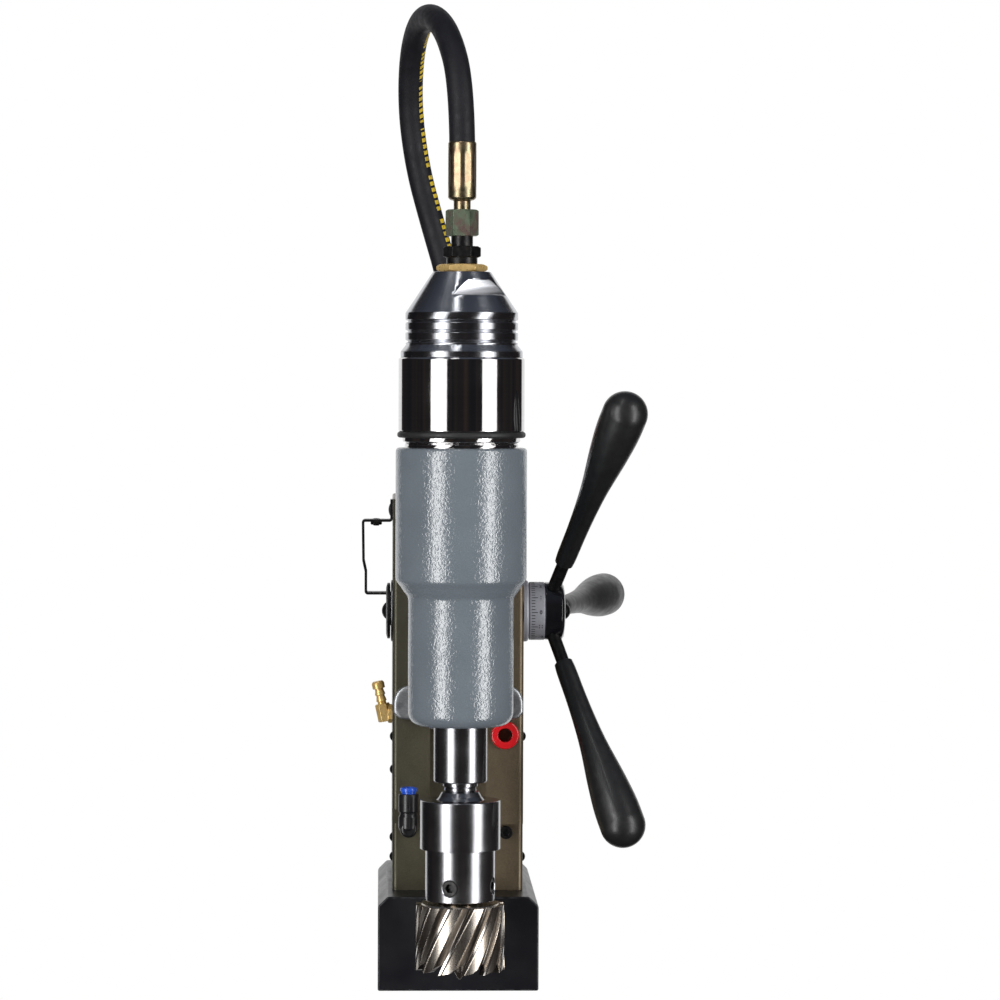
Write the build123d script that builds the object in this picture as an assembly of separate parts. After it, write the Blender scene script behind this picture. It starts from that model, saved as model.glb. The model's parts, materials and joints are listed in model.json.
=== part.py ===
"""Magnetic drill press with an air motor: every piece is its own solid, in millimetres.

The origin is the centre of the magnet's holding face. +Z is up, the spindle side is -Y,
and the feed handles are on the +X side.
"""
import os
from math import acos, cos, pi, radians, sin, sqrt, tan

from build123d import *

# Magnet foot
MAGNET_HALF_X = 42.6
MAGNET_HALF_Y = 80.0
MAGNET_TOP = 50.0
MAGNET_CHAMFER = 5.0
MAGNET_WALL = 8.0
MAGNET_ROOF = 8.0
POLE_THICK = 8.0
PACK_TOP = 22.0
PACK_LIFT = 8.0
PISTON_R = 18.0
PISTON_HEIGHT = 8.0
PISTON_ROD_R = 6.0

# Frame
FRAME_HALF_X = 35.0
FRONT_Y = -57.0
RECESS_Y = -52.0
COLUMN_BACK_Y = -22.0
HOUSING_BACK_Y = 60.0
HOUSING_WALL = 6.0
COVER_THICK = 3.0
COLUMN_FOOT = 86.0
COLUMN_TOP = 259.5
COLUMN_SLOPE = 17.0
EDGE_R = 2.5

# Screws and fittings of the frame
SCREW_HOLE_R = 2.5
RECESS_SCREWS = ((25.9, 81.2),)
COVER_SCREWS = ((-26.0, 96.0), (26.0, 96.0), (-26.0, 244.0), (26.0, 244.0))
COVER_SCREW_R = 2.0
CAP_HEAD_R = 3.5
SIDE_SHANK_R = 1.5
SIDE_SHANK_LENGTH = 4.0
SIDE_HEAD_R = 2.6
SIDE_HEAD_HEIGHT = 1.5
SIDE_SCREWS_LOW = ((-46.0, 78.0), (-46.0, 67.5))
SIDE_SCREWS_LOW_RIGHT = ((-46.0, 67.4),)
SIDE_SCREWS_HIGH = ((-51.5, 132.7), (-51.5, 115.0))
SIDE_SCREWS_HIGH_RIGHT = ((-51.5, 132.7),)
RED_PORT_X = 25.1
RED_PORT_Z = 133.9
RED_PORT_R = 7.5
RED_PORT_BORE_R = 3.75
RED_PORT_PROUD = 3.0
RED_PORT_DEPTH = 12.0
ELBOW_X = -26.4
ELBOW_Z = 85.4
ELBOW_BOSS_X = -20.4
ELBOW_BOSS_TOP = 94.0
ELBOW_NECK_R = 4.6
ELBOW_NECK_DEPTH = 12.0
ELBOW_FLANGE_R = 5.6
ELBOW_BARREL_Y = -72.0
ELBOW_BARREL_R = 5.35
ELBOW_FOOT = 83.5
ELBOW_TOP = 104.0
COLLET_TOP = 107.3
COLLET_R = 4.4
COLLET_STEM_R = 3.75
TUBE_BORE_R = 3.05
TAP_Y = -30.0
TAP_Z = 143.0
TAP_STEM_R = 4.0
TAP_STEM_DEPTH = 8.0
TAP_LEAN = -12.0
BRACKET_Y = -14.5
BRACKET_HALF_WIDTH = 6.0
BRACKET_THICK = 1.4
BRACKET_OUT_X = -51.2
BRACKET_TAB_TOP = 258.5
BRACKET_TAB_Z = 252.8
BRACKET_TOP_Z = 247.0
BRACKET_KINK_Z = 225.5
BRACKET_LOW_Z = 207.5
BRACKET_SCREW_R = 2.0
BRACKET_BOLT_X = -44.0
BRACKET_BOLT_R = 1.6

# Dovetail slide
DOVETAIL_HALF_FRONT = 15.0
DOVETAIL_HALF_BACK = 19.0
DOVETAIL_DEPTH = 9.0
SLIDE_GAP = 0.06
BAR_FOOT = 137.0
BAR_TOP = 255.0
RACK_HALF_X = 6.0
RACK_THICK = 8.0

# Feed pinion
PINION_Y = -40.0
PINION_Z = 199.3
PINION_MODULE = 1.5
PINION_TEETH = 14
PINION_HALF_WIDTH = 5.6
PRESSURE_ANGLE = 20.0
STUB_ADDENDUM = 0.8
DEDENDUM = 1.05
BACKLASH = 0.12
SHAFT_R = 8.0
BUSH_R = 13.0
BUSH_INNER_X = 20.0
RUNNING_GAP = 0.05
FLANGE_R = 16.5
RING_R = 15.6
RING_START_X = 38.2
HUB_START_X = 46.5
HUB_END_X = 57.3
ARM_ANGLES = (1.0, 121.0, 241.0)
ARM_TILT = 17.4
ARM_ROOT_X = 51.5
ARM_ROD_R = 3.5
GRIP_START_R = 30.7
GRIP_BALL_R = 12.0
GRIP_BALL_AT_R = 124.4
GRIP_HOLE_DEPTH = 14.0

# Spindle line
SPINDLE_Y = -120.0
CUTTER_R = 23.25
CUTTER_BORE_R = 19.0
CUTTER_FOOT = 17.3
CUTTER_TOP = 51.8
CUTTER_TEETH = 12
CUTTER_SHOULDER = 4.0
FLUTE_LEAN = 27.0
FLUTE_WIDTH = 3.2
FLUTE_DEPTH = 1.8
GULLET_SIZE = 5.0
GULLET_LAG = 11.0
SHANK_R = 9.525
SHANK_TOP = 80.5
ARBOR_R = 18.1
ARBOR_COLLAR_R = 20.8
ARBOR_FOOT = 53.9
ARBOR_STEP = 80.6
ARBOR_COLLAR_TOP = 106.0
ARBOR_NECK_R = 9.15
SET_SCREW_Z = 61.7
SET_SCREW_R = 4.0
SHANK_FLAT = 8.3
SET_SCREW_ANGLES = (-19.0, 71.0)
PIN_R = 3.15
PIN_TIP = 12.5
PIN_HEAD_Z = 84.0
SPRING_SEAT_Z = 125.0
SPRING_BORE_R = 4.1
SPINDLE_FOOT = 115.2
SPINDLE_R = 13.95
SPINDLE_NECK_R = 12.5
TAPER_TOP_R = 7.2
TAPER_LENGTH = 72.0

# Planetary gearbox
GEAR_MODULE = 1.0
SUN_TEETH = 12
PLANET_TEETH = 15
RING_TEETH = 42
RING_ADDENDUM = 0.7
PLANET_ORBIT = GEAR_MODULE * (SUN_TEETH + PLANET_TEETH) / 2
PLANET_ANGLES = (90.0, 210.0, 330.0)
GEAR_FOOT = 226.0
GEAR_TOP = 242.0
CARRIER_FOOT = 218.0
CARRIER_TOP = 224.5
CARRIER_R = 21.0
PLANET_PIN_R = 3.0

# Casting
CASTING_FOOT = 144.5
CASTING_LOWER_R = 27.3
CASTING_UPPER_R = 34.0
CASTING_STEP = 210.0
CASTING_STEP_TOP = 221.0
CASTING_TOP = 288.5
LOWER_BORE_R = 22.0
UPPER_BORE_R = 28.0
MOTOR_BORE_R = 30.0
MOTOR_SEAT = 262.0
WEB_HALF_X = 17.0
EAR_HALF_X = 34.5
EAR_FOOT = 141.4
EAR_TOP = 161.0
EAR_FRONT_Y = -64.6
EAR_BACK_Y = -60.4
EAR_CORNER_R = 9.0
SLIDE_SCREW_X = (-10.5, 10.5)
SLIDE_SCREW_Z = (152.0, 181.0, 215.0, 245.0)
SLIDE_SCREW_R = 2.0

# Motor
NECK_R = 30.4
NECK_FOOT_R = 29.4
O_RING_FOOT = 293.6
O_RING_TOP = 296.7
O_RING_R = 33.2
BARREL_R = 32.6
CLAMP_R = 31.6
BARREL_TOP = 335.0
LINER_R = 27.0
LINER_BORE_R = 22.0
ROTOR_R = 19.0
ROTOR_OFFSET = 2.6
PLATE_FOOT = 243.0
LINER_FOOT = 253.0
LINER_TOP = 325.0
REAR_PLATE_TOP = 334.0
BALL_BEARING_R = 11.0
BALL_BEARING_BORE_R = 5.0
BALL_BEARING_WIDTH = 7.0
VANE_ANGLES = (45.0, 135.0, 225.0, 315.0)
VANE_HALF = 1.25
VANE_FOOT_R = 9.0
CAP_FOOT = 338.0
CAP_R = 29.1
CAP_BAND_FOOT = 342.0
CAP_BAND_TOP = 358.5
CAP_GROOVES = (343.2, 348.4, 353.6)
CAP_TOP = 379.2
CAP_TOP_R = 15.0
CAP_FLAT_ANGLE = 32.0
CAP_FLAT_AT = 16.5
CAP_FLAT_FOOT = 367.0
CAP_FLAT_TOP = 375.0

# Hose line on top of the motor
BRASS_NUT_AF = 23.0
ADAPTER_HEX_AF = 17.0
SWIVEL_NUT_AF = 15.0
HEX_TURN = -3.0
ADAPTER_THREAD_R = 6.5
ADAPTER_BORE_R = 3.0
ADAPTER_NECK_R = 5.65
STUB_R = 4.4
BRASS_NUT_TOP = 383.1
SEAL_TOP = 386.6
HEX_TOP = 392.3
NUT_FOOT = 397.6
NUT_TOP = 411.3
STUB_TOP = 416.1
FERRULE_TOP = 446.1
FERRULE_R = 7.3
HOSE_R = 6.7
HOSE_END = 434.0

# Valve block behind the motor
VALVE_Y = 10.0
VALVE_HALF_X = 17.0
VALVE_HALF_Y = 18.0
VALVE_TOP = 284.0
NIPPLE_TOP = 290.0
REAR_FERRULE_TOP = 318.0
LEVER_Z = 273.0
LEVER_TOP = 316.0
LEVER_STEM_R = 4.0
NIPPLE_THREAD_R = 6.5
NIPPLE_HEX_AF = 19.0
INLET_R = 6.58
INLET_DEPTH = 10.0

# The hose's route, from the ferrule on the motor to the ferrule on the valve block
HOSE_ROUTE = [
    (0.0, SPINDLE_Y, HOSE_END),
    (0.0, SPINDLE_Y, 474.0),
    (-7.5, -96.5, 506.5),
    (-18.0, -58.0, 519.0),
    (-25.0, -19.5, 506.0),
    (-26.5, 4.0, 474.0),
    (-22.0, 11.0, 440.0),
    (-13.5, 12.5, 409.0),
    (-4.3, 11.5, 378.0),
    (0.0, VALVE_Y, 346.0),
    (0.0, VALVE_Y, REAR_FERRULE_TOP),
]
HOSE_CORNER_SHARE = 0.45


def save(name, shape):
    """Write one node."""
    if isinstance(shape, (list, tuple)):
        shape = Compound(children=list(shape))
    export_step(shape, f"parts/{name}.step")


def block(x0, x1, y0, y1, z0, z1):
    """A box between two corners."""
    middle = ((x0 + x1) / 2, (y0 + y1) / 2, (z0 + z1) / 2)
    return Pos(*middle) * Box(x1 - x0, y1 - y0, z1 - z0)


def post(radius, z0, z1, x=0.0, y=0.0):
    """A cylinder along Z."""
    return Pos(x, y, (z0 + z1) / 2) * Cylinder(radius, z1 - z0)


def rod_x(radius, x0, x1, y, z):
    """A cylinder along X."""
    return Pos((x0 + x1) / 2, y, z) * Rot(0, 90, 0) * Cylinder(radius, x1 - x0)


def rod_y(radius, y0, y1, x, z):
    """A cylinder along Y."""
    return Pos(x, (y0 + y1) / 2, z) * Rot(90, 0, 0) * Cylinder(radius, y1 - y0)


def turned(points, x=0.0, y=0.0):
    """A profile of (radius, height) turned about a vertical line."""
    face = make_face(Plane.XZ * Polyline(*points, close=True))
    return Pos(x, y, 0) * revolve(face, Axis.Z)


def turned_x(points, y=PINION_Y, z=PINION_Z):
    """A profile of (x, radius) turned about a line along X."""
    face = make_face(Polyline(*points, close=True))
    return Pos(0, y, z) * revolve(face, Axis.X)


def hexagon(across_flats, z0, z1, x=0.0, y=0.0, turn=0.0):
    """A hexagonal prism with chamfered corners."""
    corner_r = across_flats / sqrt(3)
    flat_r = across_flats / 2
    edge = (corner_r - flat_r) * 0.5
    prism = extrude(RegularPolygon(corner_r, 6), z1 - z0)
    prism = Pos(0, 0, z0) * Rot(0, 0, turn) * prism
    cone = turned([(0, z0), (flat_r, z0), (corner_r, z0 + edge), (corner_r, z1 - edge),
                   (flat_r, z1), (0, z1)])
    return Pos(x, y, 0) * (prism & cone)


def involute_half(teeth, module, thickness, tip_r, root_r):
    """One flank of a tooth centred on the X axis, as points from root to tip."""
    pitch_r = module * teeth / 2
    base_r = pitch_r * cos(radians(PRESSURE_ANGLE))
    involute_at_pitch = tan(radians(PRESSURE_ANGLE)) - radians(PRESSURE_ANGLE)
    half_at_pitch = thickness / 2 / pitch_r
    points = []
    start_r = max(base_r, root_r)
    if root_r < base_r:
        points.append((root_r, half_at_pitch + involute_at_pitch))
    steps = 6
    for step in range(steps + 1):
        r = start_r + (tip_r - start_r) * step / steps
        roll = acos(min(1.0, base_r / r))
        points.append((r, half_at_pitch + involute_at_pitch - (tan(roll) - roll)))
    return points


def toothed_outline(teeth, module, turn, thickness, tip_r, root_r):
    """The closed outline of a gear whose first tooth points at the angle turn."""
    flank = involute_half(teeth, module, thickness, tip_r, root_r)
    outline = []
    for tooth in range(teeth):
        centre = radians(turn) + 2 * pi * tooth / teeth
        for r, half in flank:
            outline.append((r * cos(centre - half), r * sin(centre - half)))
        for r, half in reversed(flank):
            outline.append((r * cos(centre + half), r * sin(centre + half)))
    return outline


def spur_gear(teeth, module, width, turn):
    """An external gear, its face on the XY plane."""
    pitch_r = module * teeth / 2
    thickness = pi * module / 2 - BACKLASH
    tip_r = pitch_r + STUB_ADDENDUM * module
    root_r = pitch_r - DEDENDUM * module
    outline = toothed_outline(teeth, module, turn, thickness, tip_r, root_r)
    return extrude(make_face(Polyline(*outline, close=True)), width)


def ring_gear_cutter(width):
    """What is cut from a disc to leave the internal teeth, one of which points along X."""
    pitch_r = GEAR_MODULE * RING_TEETH / 2
    thickness = pi * GEAR_MODULE / 2 + BACKLASH
    tip_r = pitch_r + DEDENDUM * GEAR_MODULE
    root_r = pitch_r - RING_ADDENDUM * GEAR_MODULE
    half_tooth = 180.0 / RING_TEETH
    outline = toothed_outline(RING_TEETH, GEAR_MODULE, half_tooth, thickness, tip_r, root_r)
    return extrude(make_face(Polyline(*outline, close=True)), width)


def socket_screw(head_r, head_height, shank_r, shank_length):
    """A hexagon-socket screw whose head stands on z = 0 and whose shank goes down."""
    screw = post(head_r, 0, head_height) + post(shank_r, -shank_length, 0)
    socket = extrude(RegularPolygon(head_r * 0.58, 6), head_height * 0.6)
    return screw - Pos(0, 0, head_height * 0.45) * socket


def button_screw(head_r, head_height, shank_r, shank_length):
    """A domed screw whose head stands on z = 0."""
    ball_r = (head_r**2 + head_height**2) / (2 * head_height)
    dome = Pos(0, 0, head_height - ball_r) * Sphere(ball_r)
    head = dome & post(head_r, 0, head_height)
    return head + post(shank_r, -shank_length, 0)


# ---------------------------------------------------------------- magnet foot


def magnet_housing():
    body = block(-MAGNET_HALF_X, MAGNET_HALF_X, -MAGNET_HALF_Y, MAGNET_HALF_Y, 0, MAGNET_TOP)
    long_edges = body.edges().filter_by(Axis.Y).group_by(Axis.Z)[-1]
    body = chamfer(long_edges, MAGNET_CHAMFER)
    inner_x = MAGNET_HALF_X - MAGNET_WALL
    inner_y = MAGNET_HALF_Y - MAGNET_WALL
    body -= block(-inner_x, inner_x, -inner_y, inner_y, 0, MAGNET_TOP - MAGNET_ROOF)
    return body - post(PISTON_ROD_R + RUNNING_GAP, 0, MAGNET_TOP)


def pole_plates():
    inner_x = MAGNET_HALF_X - MAGNET_WALL
    inner_y = MAGNET_HALF_Y - MAGNET_WALL
    split = 5.0
    left = block(-inner_x, -split, -inner_y, inner_y, 0, POLE_THICK)
    right = block(split, inner_x, -inner_y, inner_y, 0, POLE_THICK)
    spacer = block(-split, split, -inner_y, inner_y, 0, POLE_THICK)
    return [left, right, spacer]


def magnet_pack():
    """Permanent magnets on a carrier, with the piston rod and piston that lift them."""
    half_x = MAGNET_HALF_X - MAGNET_WALL - 1
    half_y = MAGNET_HALF_Y - MAGNET_WALL - 1
    magnets = block(-half_x, half_x, -half_y, half_y, POLE_THICK + 0.05, PACK_TOP)
    rod = post(PISTON_ROD_R, PACK_TOP, MAGNET_TOP + 2)
    piston = post(PISTON_R, MAGNET_TOP + 1, MAGNET_TOP + 1 + PISTON_HEIGHT)
    return magnets + rod + piston


def magnet_springs():
    """Four return springs, each a plain sleeve of the spring's own outer size."""
    z0 = PACK_TOP
    z1 = MAGNET_TOP - MAGNET_ROOF
    springs = []
    for x in (-20, 20):
        for y in (-50, 50):
            springs.append(post(5, z0, z1, x, y) - post(3.6, z0, z1, x, y))
    return springs


# ---------------------------------------------------------------------- frame


def upright(x0, x1, y0, y1, z0, z1):
    """A block whose front vertical edges are rounded."""
    body = block(x0, x1, y0, y1, z0, z1)
    front = body.edges().filter_by(Axis.Z).group_by(Axis.Y)[0]
    return fillet(front, EDGE_R)


def base_block():
    body = upright(-FRAME_HALF_X, FRAME_HALF_X, RECESS_Y, HOUSING_BACK_Y, MAGNET_TOP, COLUMN_FOOT)
    body += block(-FRAME_HALF_X, ELBOW_BOSS_X, RECESS_Y, COLUMN_BACK_Y, COLUMN_FOOT, ELBOW_BOSS_TOP)
    cylinder_top = MAGNET_TOP + 1 + PISTON_HEIGHT + PACK_LIFT + 1
    body -= post(PISTON_R + RUNNING_GAP, MAGNET_TOP, cylinder_top)
    for x, z in RECESS_SCREWS:
        body -= rod_y(SCREW_HOLE_R, RECESS_Y, RECESS_Y + 14, x, z)
    body -= rod_y(ELBOW_NECK_R, RECESS_Y, RECESS_Y + ELBOW_NECK_DEPTH, ELBOW_X, ELBOW_Z)
    for y, z in SIDE_SCREWS_LOW:
        body -= rod_x(SIDE_SHANK_R, -FRAME_HALF_X, -FRAME_HALF_X + SIDE_SHANK_LENGTH, y, z)
    for y, z in SIDE_SCREWS_LOW_RIGHT:
        body -= rod_x(SIDE_SHANK_R, FRAME_HALF_X - SIDE_SHANK_LENGTH, FRAME_HALF_X, y, z)
    return body


def dovetail(half_front, half_back, y_front, y_back, z0, z1):
    """A prism along Z with a dovetail section, wider at the back."""
    outline = [(-half_front, y_front), (half_front, y_front), (half_back, y_back), (-half_back, y_back)]
    return Pos(0, 0, z0) * extrude(make_face(Polyline(*outline, close=True)), z1 - z0)


def guide_column():
    body = upright(-FRAME_HALF_X, FRAME_HALF_X, FRONT_Y, COLUMN_BACK_Y, COLUMN_FOOT, COLUMN_TOP)
    slope = [(FRONT_Y - 1, COLUMN_TOP - COLUMN_SLOPE), (FRONT_Y, COLUMN_TOP - COLUMN_SLOPE),
             (FRONT_Y + 10, COLUMN_TOP), (FRONT_Y - 1, COLUMN_TOP)]
    wedge = extrude(Plane.YZ * make_face(Polyline(*slope, close=True)), FRAME_HALF_X, both=True)
    body -= wedge
    body -= block(-FRAME_HALF_X, ELBOW_BOSS_X, FRONT_Y, COLUMN_BACK_Y, COLUMN_FOOT, ELBOW_BOSS_TOP)
    gap = SLIDE_GAP
    body -= dovetail(DOVETAIL_HALF_FRONT + gap, DOVETAIL_HALF_BACK + gap, FRONT_Y,
                     FRONT_Y + DOVETAIL_DEPTH + gap, COLUMN_FOOT, COLUMN_TOP)
    body -= rod_x(BUSH_R, -FRAME_HALF_X, FRAME_HALF_X, PINION_Y, PINION_Z)
    body -= rod_y(RED_PORT_BORE_R + 1.5, FRONT_Y, FRONT_Y + RED_PORT_DEPTH, RED_PORT_X, RED_PORT_Z)
    for y, z in SIDE_SCREWS_HIGH:
        body -= rod_x(SIDE_SHANK_R, -FRAME_HALF_X, -FRAME_HALF_X + SIDE_SHANK_LENGTH, y, z)
    for y, z in SIDE_SCREWS_HIGH_RIGHT:
        body -= rod_x(SIDE_SHANK_R, FRAME_HALF_X - SIDE_SHANK_LENGTH, FRAME_HALF_X, y, z)
    return body - rod_x(TAP_STEM_R, -FRAME_HALF_X, -FRAME_HALF_X + TAP_STEM_DEPTH, TAP_Y, TAP_Z)


def frame_housing():
    x = FRAME_HALF_X
    outer = block(-x, x, COLUMN_BACK_Y, HOUSING_BACK_Y, COLUMN_FOOT, COLUMN_TOP)
    inner = block(-x + HOUSING_WALL, x - HOUSING_WALL, COLUMN_BACK_Y, HOUSING_BACK_Y,
                  COLUMN_FOOT, COLUMN_TOP - HOUSING_WALL)
    body = outer - inner
    for cx, cz in COVER_SCREWS:
        side = 1 if cx > 0 else -1
        boss = block(min(side * 22, side * 30), max(side * 22, side * 30), HOUSING_BACK_Y - 14,
                     HOUSING_BACK_Y, cz - 6, cz + 6)
        body += boss
    for cx, cz in COVER_SCREWS:
        body -= rod_y(COVER_SCREW_R, HOUSING_BACK_Y - 12, HOUSING_BACK_Y, cx, cz)
    return body - rod_x(BRACKET_SCREW_R, -x, -x + HOUSING_WALL, BRACKET_Y, BRACKET_TAB_Z)


def rear_cover():
    x = FRAME_HALF_X
    plate = block(-x, x, HOUSING_BACK_Y, HOUSING_BACK_Y + COVER_THICK, COLUMN_FOOT, COLUMN_TOP)
    plate = fillet(plate.edges().filter_by(Axis.Y), 4)
    for cx, cz in COVER_SCREWS:
        plate -= rod_y(COVER_SCREW_R + 0.2, HOUSING_BACK_Y, HOUSING_BACK_Y + COVER_THICK, cx, cz)
    return plate


def frame_screws():
    """The socket screw in the front recess and the four of the rear cover."""
    screws = []
    for x, z in RECESS_SCREWS:
        screw = socket_screw(CAP_HEAD_R, 3.2, SCREW_HOLE_R, 12)
        screws.append(Pos(x, RECESS_Y, z) * Rot(90, 0, 0) * screw)
    for x, z in COVER_SCREWS:
        screw = socket_screw(CAP_HEAD_R, 3.0, COVER_SCREW_R, 12)
        screws.append(Pos(x, HOUSING_BACK_Y + COVER_THICK, z) * Rot(-90, 0, 0) * screw)
    return screws


def side_screws():
    """Button-head screws in the frame's sides."""
    screws = []
    left = SIDE_SCREWS_LOW + SIDE_SCREWS_HIGH
    right = SIDE_SCREWS_LOW_RIGHT + SIDE_SCREWS_HIGH_RIGHT
    for places, side in ((left, -1), (right, 1)):
        for y, z in places:
            screw = button_screw(SIDE_HEAD_R, SIDE_HEAD_HEIGHT, SIDE_SHANK_R, SIDE_SHANK_LENGTH)
            screws.append(Pos(side * FRAME_HALF_X, y, z) * Rot(0, side * 90, 0) * screw)
    return screws


def red_port_ring():
    sleeve = rod_y(RED_PORT_BORE_R + 1.5, FRONT_Y, FRONT_Y + RED_PORT_DEPTH, RED_PORT_X, RED_PORT_Z)
    collar = rod_y(RED_PORT_R, FRONT_Y - RED_PORT_PROUD, FRONT_Y, RED_PORT_X, RED_PORT_Z)
    collar = fillet(collar.edges().group_by(Axis.Y)[0], 1.0)
    bore = rod_y(RED_PORT_BORE_R, FRONT_Y - RED_PORT_PROUD, FRONT_Y + RED_PORT_DEPTH, RED_PORT_X, RED_PORT_Z)
    return sleeve + collar - bore


def elbow_body():
    """Push-in elbow: a neck into the base block and an upright barrel."""
    nose_y = ELBOW_BARREL_Y - ELBOW_NECK_R
    neck = rod_y(ELBOW_NECK_R, nose_y, RECESS_Y + ELBOW_NECK_DEPTH, ELBOW_X, ELBOW_Z)
    neck = fillet(neck.edges().group_by(Axis.Y)[0], 2.0)
    flange = rod_y(ELBOW_FLANGE_R, RECESS_Y - 4, RECESS_Y, ELBOW_X, ELBOW_Z)
    barrel = post(ELBOW_BARREL_R, ELBOW_FOOT, ELBOW_TOP, ELBOW_X, ELBOW_BARREL_Y)
    barrel = fillet(barrel.edges().group_by(Axis.Z)[0], 2.0)
    body = neck + flange + barrel
    seat = COLLET_STEM_R + RUNNING_GAP
    body -= post(seat, ELBOW_TOP - 6, ELBOW_TOP, ELBOW_X, ELBOW_BARREL_Y)
    return body - post(TUBE_BORE_R, ELBOW_TOP - 16, ELBOW_TOP, ELBOW_X, ELBOW_BARREL_Y)


def release_collet():
    """The blue ring that is pressed to let go of the air tube."""
    stem = post(COLLET_STEM_R, ELBOW_TOP - 4, ELBOW_TOP + 1.2, ELBOW_X, ELBOW_BARREL_Y)
    head = post(COLLET_R, ELBOW_TOP + 1.2, COLLET_TOP, ELBOW_X, ELBOW_BARREL_Y)
    head = fillet(head.edges().group_by(Axis.Z)[-1], 0.6)
    return stem + head - post(TUBE_BORE_R, ELBOW_TOP - 4, COLLET_TOP, ELBOW_X, ELBOW_BARREL_Y)


def coolant_fitting():
    """Brass fitting on the left side, its barb pointing up and outwards."""
    x = -FRAME_HALF_X
    stem = rod_x(TAP_STEM_R, x, x + TAP_STEM_DEPTH, TAP_Y, TAP_Z)
    seat = Pos(x, TAP_Y, TAP_Z) * Rot(0, -90, 0) * hexagon(9, 0, 2.4)
    lean = Pos(x - 3.6, TAP_Y, TAP_Z - 4) * Rot(0, TAP_LEAN, 0)
    body = hexagon(7, 0, 9.5)
    barb = post(2.3, 8, 21)
    for foot in (11.0, 14.5):
        barb += turned([(0, foot), (2.9, foot), (2.3, foot + 2.6), (0, foot + 2.6)])
    barb += turned([(0, 18), (3.4, 18), (3.4, 21), (2.6, 22), (0, 22)])
    return stem + seat + lean * (body + barb)


def bottle_bracket():
    """A bent strip that holds the coolant bottle: tab, top leg, outer leg, low leg."""
    half = BRACKET_THICK / 2
    x_side = -FRAME_HALF_X - half
    low_x = BRACKET_OUT_X + 1.6
    route = [(x_side, BRACKET_TAB_TOP), (x_side, BRACKET_TOP_Z), (BRACKET_OUT_X, BRACKET_TOP_Z),
             (BRACKET_OUT_X + 0.3, BRACKET_KINK_Z), (low_x, BRACKET_KINK_Z - 6),
             (low_x, BRACKET_LOW_Z), (x_side, BRACKET_LOW_Z), (x_side, BRACKET_LOW_Z - 9)]
    line = FilletPolyline(*[(x, z, 0) for x, z in route], radius=1.2)
    strip = trace(line, BRACKET_THICK)
    solid = extrude(Plane.XZ * strip, BRACKET_HALF_WIDTH, both=True)
    solid = Pos(0, BRACKET_Y, 0) * solid
    solid -= rod_x(BRACKET_SCREW_R, x_side - 2, x_side + 1, BRACKET_Y, BRACKET_TAB_Z)
    return solid - post(BRACKET_BOLT_R, BRACKET_TOP_Z - 2, BRACKET_TOP_Z + 2, BRACKET_BOLT_X, BRACKET_Y)


def bracket_screws():
    """The screw that holds the bracket's tab, and the clamp bolt under its top leg."""
    x = -FRAME_HALF_X - BRACKET_THICK
    tab = button_screw(3.5, 1.0, BRACKET_SCREW_R, 6.5)
    tab = Pos(x, BRACKET_Y, BRACKET_TAB_Z) * Rot(0, -90, 0) * tab
    top = BRACKET_TOP_Z + BRACKET_THICK / 2
    low = BRACKET_TOP_Z - BRACKET_THICK / 2
    bolt = Pos(BRACKET_BOLT_X, BRACKET_Y, top) * button_screw(2.6, 0.5, BRACKET_BOLT_R, 3.6)
    nut = hexagon(5.5, low - 1.6, low, BRACKET_BOLT_X, BRACKET_Y)
    nut -= post(BRACKET_BOLT_R, low - 3, top, BRACKET_BOLT_X, BRACKET_Y)
    return [tab, bolt, nut]


def feed_bushes():
    bushes = []
    for side in (-1, 1):
        x0 = min(side * BUSH_INNER_X, side * FRAME_HALF_X)
        x1 = max(side * BUSH_INNER_X, side * FRAME_HALF_X)
        bush = rod_x(BUSH_R, x0, x1, PINION_Y, PINION_Z)
        bushes.append(bush - rod_x(SHAFT_R + RUNNING_GAP, x0, x1, PINION_Y, PINION_Z))
    return bushes


def feed_flanges():
    """A plate each side over the bush: thin on the left, with a raised rim on the right."""
    bore = SHAFT_R + RUNNING_GAP
    left = rod_x(FLANGE_R, -FRAME_HALF_X - 1.0, -FRAME_HALF_X, PINION_Y, PINION_Z)
    left -= rod_x(bore, -FRAME_HALF_X - 1, -FRAME_HALF_X, PINION_Y, PINION_Z)
    right = turned_x([(FRAME_HALF_X, bore), (FRAME_HALF_X, FLANGE_R), (37.0, FLANGE_R),
                      (37.9, FLANGE_R - 0.9), (37.9, bore)])
    return [left, right]


# ------------------------------------------------------------- feed and handles


def pinion_shaft():
    """The shaft with its pinion, in mesh with the rack when the head is at rest."""
    # a tooth space faces the rack, which has a tooth at the pinion's height
    turn = 180 - 180 / PINION_TEETH
    gear = spur_gear(PINION_TEETH, PINION_MODULE, 2 * PINION_HALF_WIDTH, turn)
    gear = Pos(-PINION_HALF_WIDTH, PINION_Y, PINION_Z) * (Plane.YZ * gear)
    left_end = -FRAME_HALF_X - 1.9
    shaft = rod_x(SHAFT_R, left_end + 0.6, HUB_START_X, PINION_Y, PINION_Z)
    right_end = rod_x(SHAFT_R - 2, HUB_START_X, HUB_END_X - 3, PINION_Y, PINION_Z)
    left_stub = rod_x(4.2, left_end - 0.2, left_end + 0.6, PINION_Y, PINION_Z)
    body = gear + shaft + right_end + left_stub
    body -= rod_x(2.5, HUB_END_X - 15, HUB_END_X, PINION_Y, PINION_Z)
    return body - rod_x(2.5, left_end - 1, left_end + 12, PINION_Y, PINION_Z)


def end_disc():
    """The cupped disc on the shaft's left end."""
    x = -FRAME_HALF_X
    profile = [(x - 3.6, 2.5), (x - 3.6, 12.5), (x - 2.9, 15.0), (x - 1.5, 15.0), (x - 1.3, 13.5),
               (x - 1.3, 9.0),
               (x - 2.1, 9.0), (x - 2.1, 2.5)]
    return turned_x(profile)


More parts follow.
